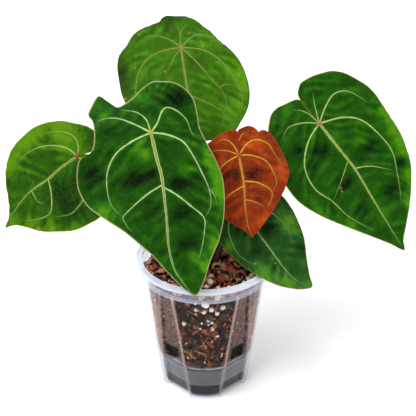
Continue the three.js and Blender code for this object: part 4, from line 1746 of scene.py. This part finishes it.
@dataclass
class Stem:
    """The short stem, its bud, its upper roots and the dry sheaths round it."""

    radius: float = 7.1
    foot: float = 88.3
    shoulder: float = 126
    bud_top: float = 143
    roots: tuple[float, ...] = (245, 300, 140, 35)
    root_radius: float = 1.5
    scars: tuple[float, ...] = (113, 120)

    def core_shape(self) -> Shape:
        """The stem turned round its axis from a profile of radii and heights, and lumpy.

        Returns:
            The closed stem, ringed where old leaves fell.
        """
        foot, shoulder, top = self.foot, self.shoulder, self.bud_top
        profile = [[0.4 / self.radius, foot], [0.8, foot], [1, foot + 4]]
        for scar in self.scars:
            profile += [[1, scar - 1], [0.9, scar], [1.02, scar + 1.2]]
        profile += [[1, shoulder], [0.55, shoulder + 2], [0.42, shoulder + 7]]
        profile += [[0.2, top - 3], [0.05, top - 0.2]]
        radius, height = evenly(np.array(profile) * [self.radius, 1], 70).T[..., None]
        rings = around(radius, ring_angles(48), height)
        rings[..., :2] *= 1 + 0.035 * lumps(rings, 5, 81)[..., None]
        return skin(rings, {"along": np.clip((rings[..., 2] - 100) / 60, 0, 1)})

    def root_shape(self, azimuth: float, number: int) -> Shape:
        """A root that runs out over the mix and dives in: a rod on a wandering line.

        Args:
            azimuth: degrees, of the way it runs.
            number: which root it is, for its wanderings.

        Returns:
            The closed rod.
        """
        c, s = math.cos(math.radians(azimuth)), math.sin(math.radians(azimuth))
        route = np.array([[3, 118.4], [12, 118.4], [22, 118.6], [29, 115], [33, 107]])
        out = route[:, :1] * [c, s]
        path = evenly(spline(np.column_stack([out, route[:, 1]]), 16), 60)
        along = np.linspace(0, 1, 60)
        sway = 0.5 * np.sin(along * 9 + number) * np.sin(along * math.pi)
        path[:, :2] += sway[:, None] * [-s, c]
        radius = self.root_radius * (1 - 0.25 * along) * (1 + 0.06 * lumps(path, 4, 83 + number))
        rings = tube(path, radius, 14, np.array([-s, c, 0]))
        return skin(rings, {"along": np.full(rings.shape[:2], 0.25)})

    def sheath_shape(
        self, azimuth: float, foot: float, height: float, half: float, radius: float, lean: float,
        seed: int,
    ) -> Shape:
        """A papery sheath: a pointed strip curved round the stem, its tip torn and leaning out.

        Half its width is half (0.65 + 1.5 u - 2 u^2) at the share u of its height, and it stands
        radius + lean u^2 from the axis.

        Args:
            azimuth: degrees, of its middle.
            foot: the height of its foot.
            height: its height.
            half: its half width.
            radius: its distance from the axis at its foot.
            lean: how far its tip leans out.
            seed: the seed of its crumples.

        Returns:
            The closed strip.
        """
        up = np.linspace(0, 1, 46)[:, None]
        wide = np.maximum(half * (0.65 + 1.5 * up - 2 * up * up), 0.4)
        side = np.concatenate([np.linspace(-1, 1, 18), np.linspace(1, -1, 18)])
        outer = np.concatenate([np.ones(18), np.zeros(18)])
        across = side * wide
        place = np.stack(np.broadcast_arrays(across, up * height), -1)
        crumple = 0.25 * lumps(place, 6, seed) + 0.12 * np.cos(side * 16)
        out = radius + lean * up * up + 0.6 * outer + crumple * smooth(up / 0.2)
        tear = height * up * (1 - 0.06 * np.abs(np.cos(side * 7)) * up**3)
        return skin(around(out, math.radians(azimuth) + across / (radius + 1), foot + tear))

    def build(self) -> None:
        """Makes and dresses the stem with its roots, and the sheaths."""
        cork = StalkTissue("corky_stem", "#2c180e", "#54301c", "#6a4a28", "#6f6a34").build()
        roots = [self.root_shape(azimuth, i) for i, azimuth in enumerate(self.roots)]
        whole = joined([self.core_shape(), *roots])
        make_piece("stem_with_roots", whole, cork, ["stem"])
        paper = PaperyBract().build()
        outer = self.sheath_shape(273, 120.6, 32, 4.6, 7.6, 6, 91)
        inner = self.sheath_shape(85, 128.6, 24, 3.6, 4.4, 1.5, 92)
        make_piece("sheath_outer", outer, paper, ["cataphyll_outer"], 60)
        make_piece("sheath_inner", inner, paper, ["cataphyll_inner"], 60)
        small = [
            self.sheath_shape(*row)
            for row in (
                (205, 119, 16, 4.2, 8.2, 3.5, 93), (335, 118, 19, 4.4, 8.0, 4.5, 94),
                (20, 118, 13, 4.0, 8.4, 3.0, 95), (300, 117, 24, 3.6, 8.8, 7.0, 96),
            )
        ]
        make_piece("sheath_remnants", joined(small), paper, crease=60)


# The six leaves

FOREST = LeafTissue(
    "leaf_forest_green", "#020f00", "#133d02", "#215705", "#43760a", "#a9a474", "#4a6638",
    "#28581b",
)
MEADOW = LeafTissue(
    "leaf_meadow_green", "#143101", "#285201", "#386b09", "#4f7f08", "#252d06", "#58713f",
    "#4b6a12", 0.22, 0.5,
)
SPRING = LeafTissue(
    "leaf_spring_green", "#092302", "#1d4601", "#3a6500", "#4c7400", "#767a0c", "#587438",
    "#3d641b", 0.3,
)
BOTTLE = LeafTissue(
    "leaf_bottle_green", "#021400", "#144102", "#245904", "#407404", "#74700c", "#4a6638",
    "#28581b", 0.2,
)
COPPER = LeafTissue(
    "leaf_young_copper", "#2c0804", "#74240b", "#923410", "#a04519", "#96302a", "#784a34",
    "#8a4a14", 0.34, 0.42,
)
TEAL = LeafTissue(
    "leaf_shaded_green", "#031803", "#183f10", "#2c581a", "#467618", "#6a6c14", "#3f5f38",
    "#285223", 0.22,
)
PALE_RIBS = VeinTissue("veins_pale", "#74792c", "#93ae6e", "#37632d", "#97932b", "#718251")
OLIVE_RIBS = VeinTissue("veins_olive", "#6d6d29", "#6d7d37", "#40631f", "#866432", "#748254")
LIME_RIBS = VeinTissue("veins_lime", "#6d7320", "#859f50", "#39601f", "#7f2c1d", "#748254")
CREAM_RIBS = VeinTissue("veins_cream", "#80802c", "#92aa5a", "#345d23", "#975b45", "#718251")
GOLD_RIBS = VeinTissue("veins_gold", "#a8653a", "#bd8c24", "#8c4c14", "#8d3821", "#906d4d")
JADE_RIBS = VeinTissue("veins_jade", "#6b7c38", "#76935a", "#294f2a", "#897e43", "#6d7f58")
GREEN_STALK = StalkTissue("stalk_green", "#2a0d06", "#481f10", "#3b511f", "#4d622d")
RED_STALK = StalkTissue("stalk_young_red", "#31130b", "#54291c", "#69392c", "#7b463b")


def ribs(*rows: tuple[Weight, float, Sequence[float]]) -> tuple[Vein, ...]:
    """Veins from rows of weight, width and a flat list of across, along, across, along."""
    return tuple(
        Vein(weight, width, tuple(zip(line[::2], line[1::2]))) for weight, width, line in rows
    )


MID, MAIN, FINE = Weight.MIDRIB, Weight.MAIN, Weight.FINE

LEAVES = (
    Leaf(
        name="front",
        junction=(-43, -20, 251),
        tip=(-7, -75, 132),
        faces=(0.05, -0.9, 0.42),
        droop=0.06, back=0.15, arch=0.15,
        waves=((3, 3, 0.6), (1.6, 8, 0.3)),
        bumps=((-40, -38, 14, 14, -9),),
        outline=(
            (-21, -27), (-14, -28), (-6, -31), (1, -35), (12, -39), (20, -37), (28, -34),
            (35, -28), (40, -18), (40, -4), (39, 6), (41, 18), (45, 38), (46, 52), (43, 68),
            (38, 83), (30, 98), (19, 112), (8, 129), (0, 137), (-6, 132), (-15, 117), (-25, 97),
            (-33, 85), (-42, 72), (-58, 54), (-66, 43), (-69, 28), (-66, 15), (-61, 6), (-50, 2),
            (-45, -8), (-43, -21), (-45, -27), (-41, -33), (-33, -40), (-27, -33),
        ),
        azimuth=225, girth=1,
        route=((-9.5, -9.5, 136), (-22, -12, 178), (-37, -9, 225)),
        veins=ribs(
            (MID, 3.1, (0, 0, -1, 23, -1, 35, -6, 68, -11, 95, -11, 113, -8, 122, -4, 132, 0, 137)),
            (MAIN, 1.7, (0, 0, -17, 3, -33, 10, -43, 23, -47, 41, -46, 50, -40, 60)),
            (MAIN, 1.5, (-3, 43, -16, 47, -36, 57, -40, 60, -39, 67, -36, 74)),
            (MAIN, 1.8, (0, 0, 12, 5, 23, 14, 28, 28, 31, 42, 33, 56, 31, 69, 23, 78)),
            (MAIN, 1.6, (-3, 44, 6, 53, 15, 65, 23, 78, 20, 89, 14, 102, 9, 110)),
            (MAIN, 1.6, (0, 0, -10, -9, -21, -17, -29, -20, -38, -20, -41, -18)),
            (MAIN, 1.3, (0, 0, -1, -11, -6, -18, -16, -23, -20, -24)),
            (MAIN, 1.6, (0, 0, 7, -6, 13, -14, 17, -16, 23, -13, 30, -3, 32, 10, 35, 14)),
            (FINE, 0.6, (33, 56, 36, 62, 36, 70)),
        ),
        zones=(
            (28, -20, 10, 8, -0.9), (-18, 33, 15, 6, -1), (13, 45, 12, 6, -0.9),
            (9, 69, 11, 7, -0.7), (4, 94, 10, 7, -0.7), (-17, 58, 9, 7, -0.3),
            (-56, 20, 8, 10, -0.6), (3, 15, 6, 6, -0.3), (-10, 15, 7, 8, 0.6),
            (19, 38, 8, 5, 0.5), (42, 58, 6, 22, 0.9), (25, 102, 6, 11, 0.9), (14, 117, 5, 6, 0.8),
            (-53, 54, 13, 7, 0.6), (-3, -32, 9, 7, 0.5), (-33, -21, 7, 6, 0.3),
            (8, 106, 6, 7, 0.4), (-32, -9, 7, 5, -0.4), (39, 30, 5, 12, 0.5),
        ),
        spots=(),
        tissue=FOREST, vein_tissue=PALE_RIBS, stalk_tissue=GREEN_STALK,
        columns=400, rows=92, seed=101,
    ),
    Leaf(
        name="back",
        junction=(-21, 95, 281),
        tip=(-7, 8, 223),
        faces=(0, -0.35, 0.93),
        droop=0.1, back=0.1, arch=0.12,
        waves=((3, 4, 1), (1.4, 9, 2)),
        bumps=(),
        outline=(
            (-15, -31), (-11, -34), (-3, -35), (10, -34), (20, -29), (31, -10), (45, 8),
            (51, 18), (54, 27), (55, 44), (50, 64), (40, 80), (34, 88), (27, 92), (18, 94),
            (9, 95), (1, 103), (-6, 113), (-11, 103), (-24, 86), (-39, 71), (-49, 57), (-55, 42),
            (-57, 24), (-57, 10), (-53, -3), (-46, -13), (-41, -21), (-31, -29), (-22, -31),
            (-16, -31.5), (-13, -31), (-7.5, -15),
        ),
        azimuth=110, girth=1,
        route=((-5, 14, 136), (-12, 42, 190), (-19, 80, 248)),
        veins=ribs(
            (MID, 2.3, (0, 0, 0, 33, 1, 64, 1, 97, -6, 113)),
            (MAIN, 1.3, (0, 0, -13, 1, -26, 5, -34, 12, -40, 21, -43, 32, -44, 38, -42, 55, -36,
                         68)),
            (MAIN, 1.4, (0, 0, 18, 4, 32, 14, 42, 31, 47, 48, 46, 60, 40, 72)),
            (MAIN, 1.2, (0, 0, -9, -10, -19, -16, -29, -17, -37, -12)),
            (MAIN, 1.3, (0, 0, 11, -11, 20, -14, 29, -7, 35, 1)),
            (MAIN, 0.9, (0, 0, 0, -6, 1, -14, 0, -23, -2, -28)),
            (FINE, 0.8, (1, -14, 4, -21, 11, -27)),
            (MAIN, 1.1, (0, 0, 12, 17, 23, 36, 31, 49, 32, 67)),
            (FINE, 0.8, (28, 43, 34, 40, 43, 40)),
            (MAIN, 0.9, (0, 0, -8, 11, -16, 26, -17, 31)),
            (FINE, 0.9, (1, 50, 12, 56, 28, 68, 29, 72, 25, 81)),
        ),
        zones=(
            (51, 33, 7, 16, 0.8), (-54, 21, 5, 20, -0.7), (-8, -32, 9, 4, -0.5),
            (9, 15, 7, 6, -0.4), (38, 70, 9, 12, 0.4), (31, -5, 11, 10, 0.3),
            (-29, 11, 12, 10, 0.1), (37, 24, 6, 9, 0.4),
        ),
        spots=((-42, 15, 0.8), (-17, 23, 0.9), (-54, 42, 1.1), (19, 0, 0.9), (44, 58, 0.9),
               (9, -15, 0.7), (-35, -22, 0.8), (24, 34, 0.6)),
        tissue=MEADOW, vein_tissue=OLIVE_RIBS, stalk_tissue=GREEN_STALK,
        columns=340, rows=66, seed=111, lap=1,
    ),
    Leaf(
        name="left",
        junction=(-107, 12, 215),
        tip=(-173, 12, 147),
        faces=(-0.25, -0.8, 0.5),
        droop=0.08, back=0.1, arch=0.12,
        waves=((2.5, 3, 2), (1.2, 8, 0)),
        bumps=(),
        outline=(
            (4, -7), (9, -12), (18, -13), (30, -11), (43, -3), (48, 10), (50, 22), (48, 32),
            (42, 49), (31, 64), (25, 71), (13, 80), (5, 87), (1, 93), (-2, 99), (-6, 90),
            (-13, 83), (-29, 73), (-39, 65), (-46, 57), (-51, 48), (-52, 38), (-51, 26),
            (-46, 12), (-40, 2), (-34, -6), (-25, -14), (-16, -21), (-8, -25), (-1, -26),
            (4, -22), (6, -16), (5, -10), (2, -5),
        ),
        azimuth=165, girth=0.9,
        route=((-14, 4, 134), (-42, 12, 166), (-82, 20, 198)),
        veins=ribs(
            (MID, 2.7, (0, 0, -3, 19, -4, 35, -8, 59, -6, 82, -3, 98)),
            (MAIN, 1.4, (0, 0, -12, 4, -26, 17, -35, 35, -36, 50, -35, 54)),
            (MAIN, 1.2, (0, 0, -6, -6, -14, -8, -26, -1, -40, 17)),
            (MAIN, 1.4, (-4, 35, 7, 41, 18, 53, 16, 64, 5, 81)),
            (MAIN, 1.5, (0, 0, 22, -2, 30, 22, 31, 39, 23, 54)),
            (FINE, 0.9, (-7, 55, 4, 56, 9, 52)),
        ),
        zones=(
            (-27, -3, 20, 12, 0.9), (-46, 30, 8, 20, 0.8), (-40, 58, 8, 8, 0.7),
            (26, 34, 13, 12, -0.8), (9, 36, 10, 10, -0.7), (41, 46, 5, 10, 0.5),
            (28, 64, 6, 8, 0.5), (14, 76, 5, 6, 0.5), (0, 90, 5, 6, 0.5), (17, 12, 9, 9, -0.4),
            (-19, 34, 14, 12, -0.1),
        ),
        spots=((21, 72, 1.5), (29, 62, 1.2)),
        tissue=SPRING, vein_tissue=LIME_RIBS, stalk_tissue=GREEN_STALK,
        columns=320, rows=64, seed=121, lap=-1,
    ),
    Leaf(
        name="right",
        junction=(97, 32, 236),
        tip=(171, -8, 136),
        faces=(0.12, -0.82, 0.52),
        droop=0.06, back=0.1, arch=0.14,
        waves=((3, 3, -0.5), (1.4, 9, 1)),
        bumps=(),
        outline=(
            (-1, -7), (-2, -17), (-2, -25), (-1, -30), (2, -34), (6, -37), (12, -37), (19, -36),
            (26, -34), (36, -30), (47, -20), (52, -12), (56, -3), (58, 10), (58, 24), (57, 42),
            (53, 61), (49, 74), (42, 86), (29, 102), (15, 116), (6, 125), (2, 133), (-5, 122),
            (-19, 101), (-32, 82), (-44, 63), (-51, 46), (-53, 30), (-53, 13), (-49, -2),
            (-44, -13), (-39, -20), (-34, -25), (-29, -29), (-22, -31), (-15, -30), (-9, -29),
            (-4, -27.5), (-1, -23), (-1, -15),
        ),
        azimuth=10, girth=1,
        route=((14, 4, 134), (36, 20, 165), (72, 38, 208)),
        veins=ribs(
            (MID, 2.6, (0, 0, 2, 26, 4, 49, 3, 78, 2, 113, 2, 132)),
            (MAIN, 1.5, (0, 0, -16, 7, -31, 23, -34, 44, -27, 62, -23, 79, -10, 106)),
            (FINE, 0.6, (2, 41, -14, 53, -27, 62)),
            (MAIN, 1.6, (0, 0, 21, 8, 33, 19, 40, 44, 40, 58, 33, 76, 26, 91, 20, 100)),
            (FINE, 1.0, (4, 49, 16, 55, 33, 71)),
            (MAIN, 1.4, (0, 0, 14, -9, 26, -13, 38, -8, 48, 11)),
            (MAIN, 1.1, (0, 0, 5, -13, 8, -20, 11, -25)),
            (MAIN, 1.2, (0, 0, -11, -8, -24, -12, -34, -7)),
            (FINE, 1.0, (0, 0, -3, -12, -7, -18, -13, -23)),
        ),
        zones=(
            (56, 34, 7, 16, 0.9), (52, 60, 6, 13, 0.9), (42, 84, 6, 9, 0.8), (28, 101, 5, 8, 0.7),
            (-28, 7, 5, 5, -0.8), (-11, 20, 8, 6, -0.7), (22, 41, 9, 5, -0.7),
            (-27, 26, 5, 4, -0.5), (-10, 54, 7, 6, -0.8), (23, 83, 10, 6, -0.6),
            (40, 68, 6, 5, -0.6), (-9, 83, 6, 6, -0.5), (4, 19, 7, 7, 0.3), (23, 33, 6, 5, 0.4),
            (-16, -25, 8, 6, 0.3), (-42, 63, 6, 16, 0.4), (-24, 90, 6, 10, 0.4),
            (6, 93, 8, 8, 0.2),
        ),
        spots=((-15, 56, 0.8), (-16, 59, 0.7)),
        tissue=BOTTLE, vein_tissue=CREAM_RIBS, stalk_tissue=GREEN_STALK,
        columns=400, rows=92, seed=131, lap=-1,
    ),
    Leaf(
        name="young",
        junction=(28, -12, 227),
        tip=(40, -28, 160),
        faces=(0.05, -0.92, 0.38),
        droop=0.06, back=0.05, arch=0.1,
        waves=((2, 4, 0.8), (0.9, 9, 0)),
        bumps=(),
        outline=(
            (0, -4), (1, -11), (2, -18), (3, -21), (7, -22), (12, -22), (16, -20), (18, -18),
            (19, -16), (22, -17), (25, -16), (28, -13), (31, -8), (34, 0), (37, 9), (39, 18),
            (39, 24), (37, 29), (34, 35), (29, 42), (18, 54), (6, 66), (2, 69), (0, 72),
            (-3, 68), (-9, 62), (-20, 52), (-26, 41), (-29, 29), (-31, 16), (-30, 3), (-28, -7),
            (-23, -14), (-18, -16), (-15, -19), (-11, -20.5), (-6, -21.5), (0, -21.5), (3, -18),
            (2, -11),
        ),
        azimuth=60, girth=0.75,
        route=((6.5, 12, 136), (9, 14, 160), (14, 12, 188), (22, 5, 211)),
        veins=ribs(
            (MID, 2.1, (0, 0, 0, 25, -2, 45, -2, 64, 0, 70)),
            (MAIN, 1.3, (0, 0, 10, 2, 21, 9, 26, 20, 27, 30, 22, 36)),
            (MAIN, 1.3, (0, 22, 12, 26, 22, 36, 19, 45, 15, 48)),
            (MAIN, 1.2, (0, 0, 8, -8, 16, -10, 25, -5, 29, 4, 35, 17)),
            (MAIN, 1.2, (0, 0, -3, -9, -9, -15, -17, -13)),
            (MAIN, 1.0, (0, 0, -8, -5, -18, -7, -21, -6)),
            (MAIN, 1.3, (0, 0, -11, 4, -19, 10, -25, 17, -26, 28, -23, 37)),
            (MAIN, 1.1, (0, 26, -12, 31, -22, 38)),
            (FINE, 0.8, (-1, 38, 6, 41, 15, 48)),
            (FINE, 0.8, (2, -12, 5, -16, 10, -18)),
        ),
        zones=(
            (8, 18, 7, 5, -0.8), (-7, 15, 7, 6, -0.7), (13, 38, 7, 5, -0.3), (34, 21, 4, 9, 0.6),
            (-12, -17, 6, 4, 0.3), (11, -7, 7, 4, 0.5), (13, 59, 9, 5, 0.5), (0, -5, 7, 5, -0.3),
        ),
        spots=(),
        tissue=COPPER, vein_tissue=GOLD_RIBS, stalk_tissue=RED_STALK,
        columns=300, rows=58, seed=141, lap=-1,
    ),
    Leaf(
        name="low",
        junction=(28, 0, 175),
        tip=(90, -42, 119),
        faces=(0.1, -0.7, 0.7),
        droop=0.05, back=0.1, arch=0.12,
        waves=((2.2, 3, 1.2), (1, 8, 1.6)),
        bumps=((-26, 58, 16, 20, 4),),
        outline=(
            (2, -5), (8, -10), (17, -11), (26, -8), (32, -1), (36, 9), (37, 20), (35, 31),
            (31, 44), (25, 58), (15, 71), (6, 84), (1, 93), (-6, 90), (-15, 81), (-22, 71),
            (-28, 57), (-32, 41), (-33, 26), (-32, 12), (-28, 1), (-21, -8), (-13, -13),
            (-4, -13), (0, -6),
        ),
        azimuth=325, girth=0.85,
        route=((10.8, -6.5, 134), (17, 1, 150), (24, 7, 163)),
        veins=ribs(
            (MID, 2.1, (0, 0, -3, 27, -5, 47, -7, 68, -5, 83, 1, 93)),
            (MAIN, 1.2, (0, 0, -14, 5, -21, 12, -27, 26, -28, 34, -24, 50)),
            (MAIN, 1.2, (0, 0, 8, 4, 14, 13, 19, 30, 19, 43, 14, 55)),
            (FINE, 0.9, (0, 0, -10, -6, -20, -3)),
            (FINE, 0.9, (0, 0, 12, -4, 22, 2)),
        ),
        zones=(
            (6, 32, 6, 6, -0.9), (-15, 41, 9, 8, -0.5), (16, 63, 5, 7, -0.5),
            (-28, 21, 5, 6, 0.5), (-23, 62, 7, 12, 0.7), (-12, 78, 6, 8, 0.6), (25, 38, 9, 12, 0.7),
            (0, 90, 4, 4, 0.5),
        ),
        spots=((-23, 47, 0.7), (-10, 58, 0.7)),
        tissue=TEAL, vein_tissue=JADE_RIBS, stalk_tissue=GREEN_STALK,
        columns=300, rows=58, seed=151,
    ),
)


# Studio


@dataclass
class Studio:
    """A pale floor, soft lights, a white surround and the camera at the photograph's angle.

    Lens is the camera's focal length in mm, pitch the degrees that it looks down, and eye its
    place in mm from the pot's foot. A lamp is its name, its place in metres from the pot's foot,
    its power in watts and the length of its side in metres.
    """

    lens: float = 99.6
    pitch: float = 28.05
    eye: tuple[float, float, float] = (2.7, -862.1, 631.2)
    surround: float = 0.72
    lamps: tuple[tuple[str, tuple[float, float, float], float, float], ...] = (
        ("key", (-0.8, -0.7, 1.9), 46, 1.4),
        ("fill", (1.6, -1.2, 1.0), 7, 1.4),
        ("top", (0.3, 0.7, 1.9), 10, 1.2),
    )
    aim: tuple[float, float, float] = (0, 0, 0.16)
    floor_half: float = 6

    def add_camera(self) -> None:
        """Puts the camera where the photograph was taken from, looking along +Y and down."""
        data = bpy.data.cameras.new("camera")
        data.lens, data.sensor_width, data.clip_end = self.lens, 36, 20
        camera = stand("camera", data)
        camera.location = np.array(self.eye) / METRE + POT_AXIS
        camera.rotation_euler = (math.radians(90 - self.pitch), 0, 0)
        bpy.context.scene.camera = camera

    def add_lamps(self) -> None:
        """Adds the square soft lamps, which point at the plant's middle."""
        for name, place, power, size in self.lamps:
            data = bpy.data.lights.new(name, "AREA")
            data.energy, data.size = power, size
            lamp = stand(name, data)
            lamp.location = np.array(place) + POT_AXIS
            x, y, z = np.array(self.aim) - place
            lamp.rotation_euler = (math.atan2(math.hypot(x, y), -z), 0, math.atan2(-x, y))

    def add_floor(self) -> None:
        """Adds the floor, a wide square sheet of paper."""
        half = self.floor_half
        corners = [(-half, -half, 0), (half, -half, 0), (half, half, 0), (-half, half, 0)]
        mesh = bpy.data.meshes.new("floor")
        mesh.from_pydata(corners, [], [(0, 1, 2, 3)])
        mesh.materials.append(StudioPaper().build())
        stand("floor", mesh)

    def build(self) -> None:
        """Makes the studio."""
        world = bpy.data.worlds.new("surround")
        world.use_nodes = True
        background = world.node_tree.nodes["Background"]
        background.inputs["Color"].default_value = (1, 1, 1, 1)
        background.inputs["Strength"].default_value = self.surround
        bpy.context.scene.world = world
        bpy.context.scene.view_settings.view_transform = "Standard"
        self.add_floor()
        self.add_lamps()


def main() -> None:
    """Builds the camera and studio, then every piece in order."""
    logging.basicConfig(level=logging.INFO, format="%(message)s")
    studio = Studio()
    studio.add_camera()
    studio.build()
    pot = ClearPot()
    pot.build()
    PotBase(pot).build()
    PottingMix(pot).build()
    Stem().build()
    for leaf in LEAVES:
        leaf.build()


if __name__ == "__main__":
    main()
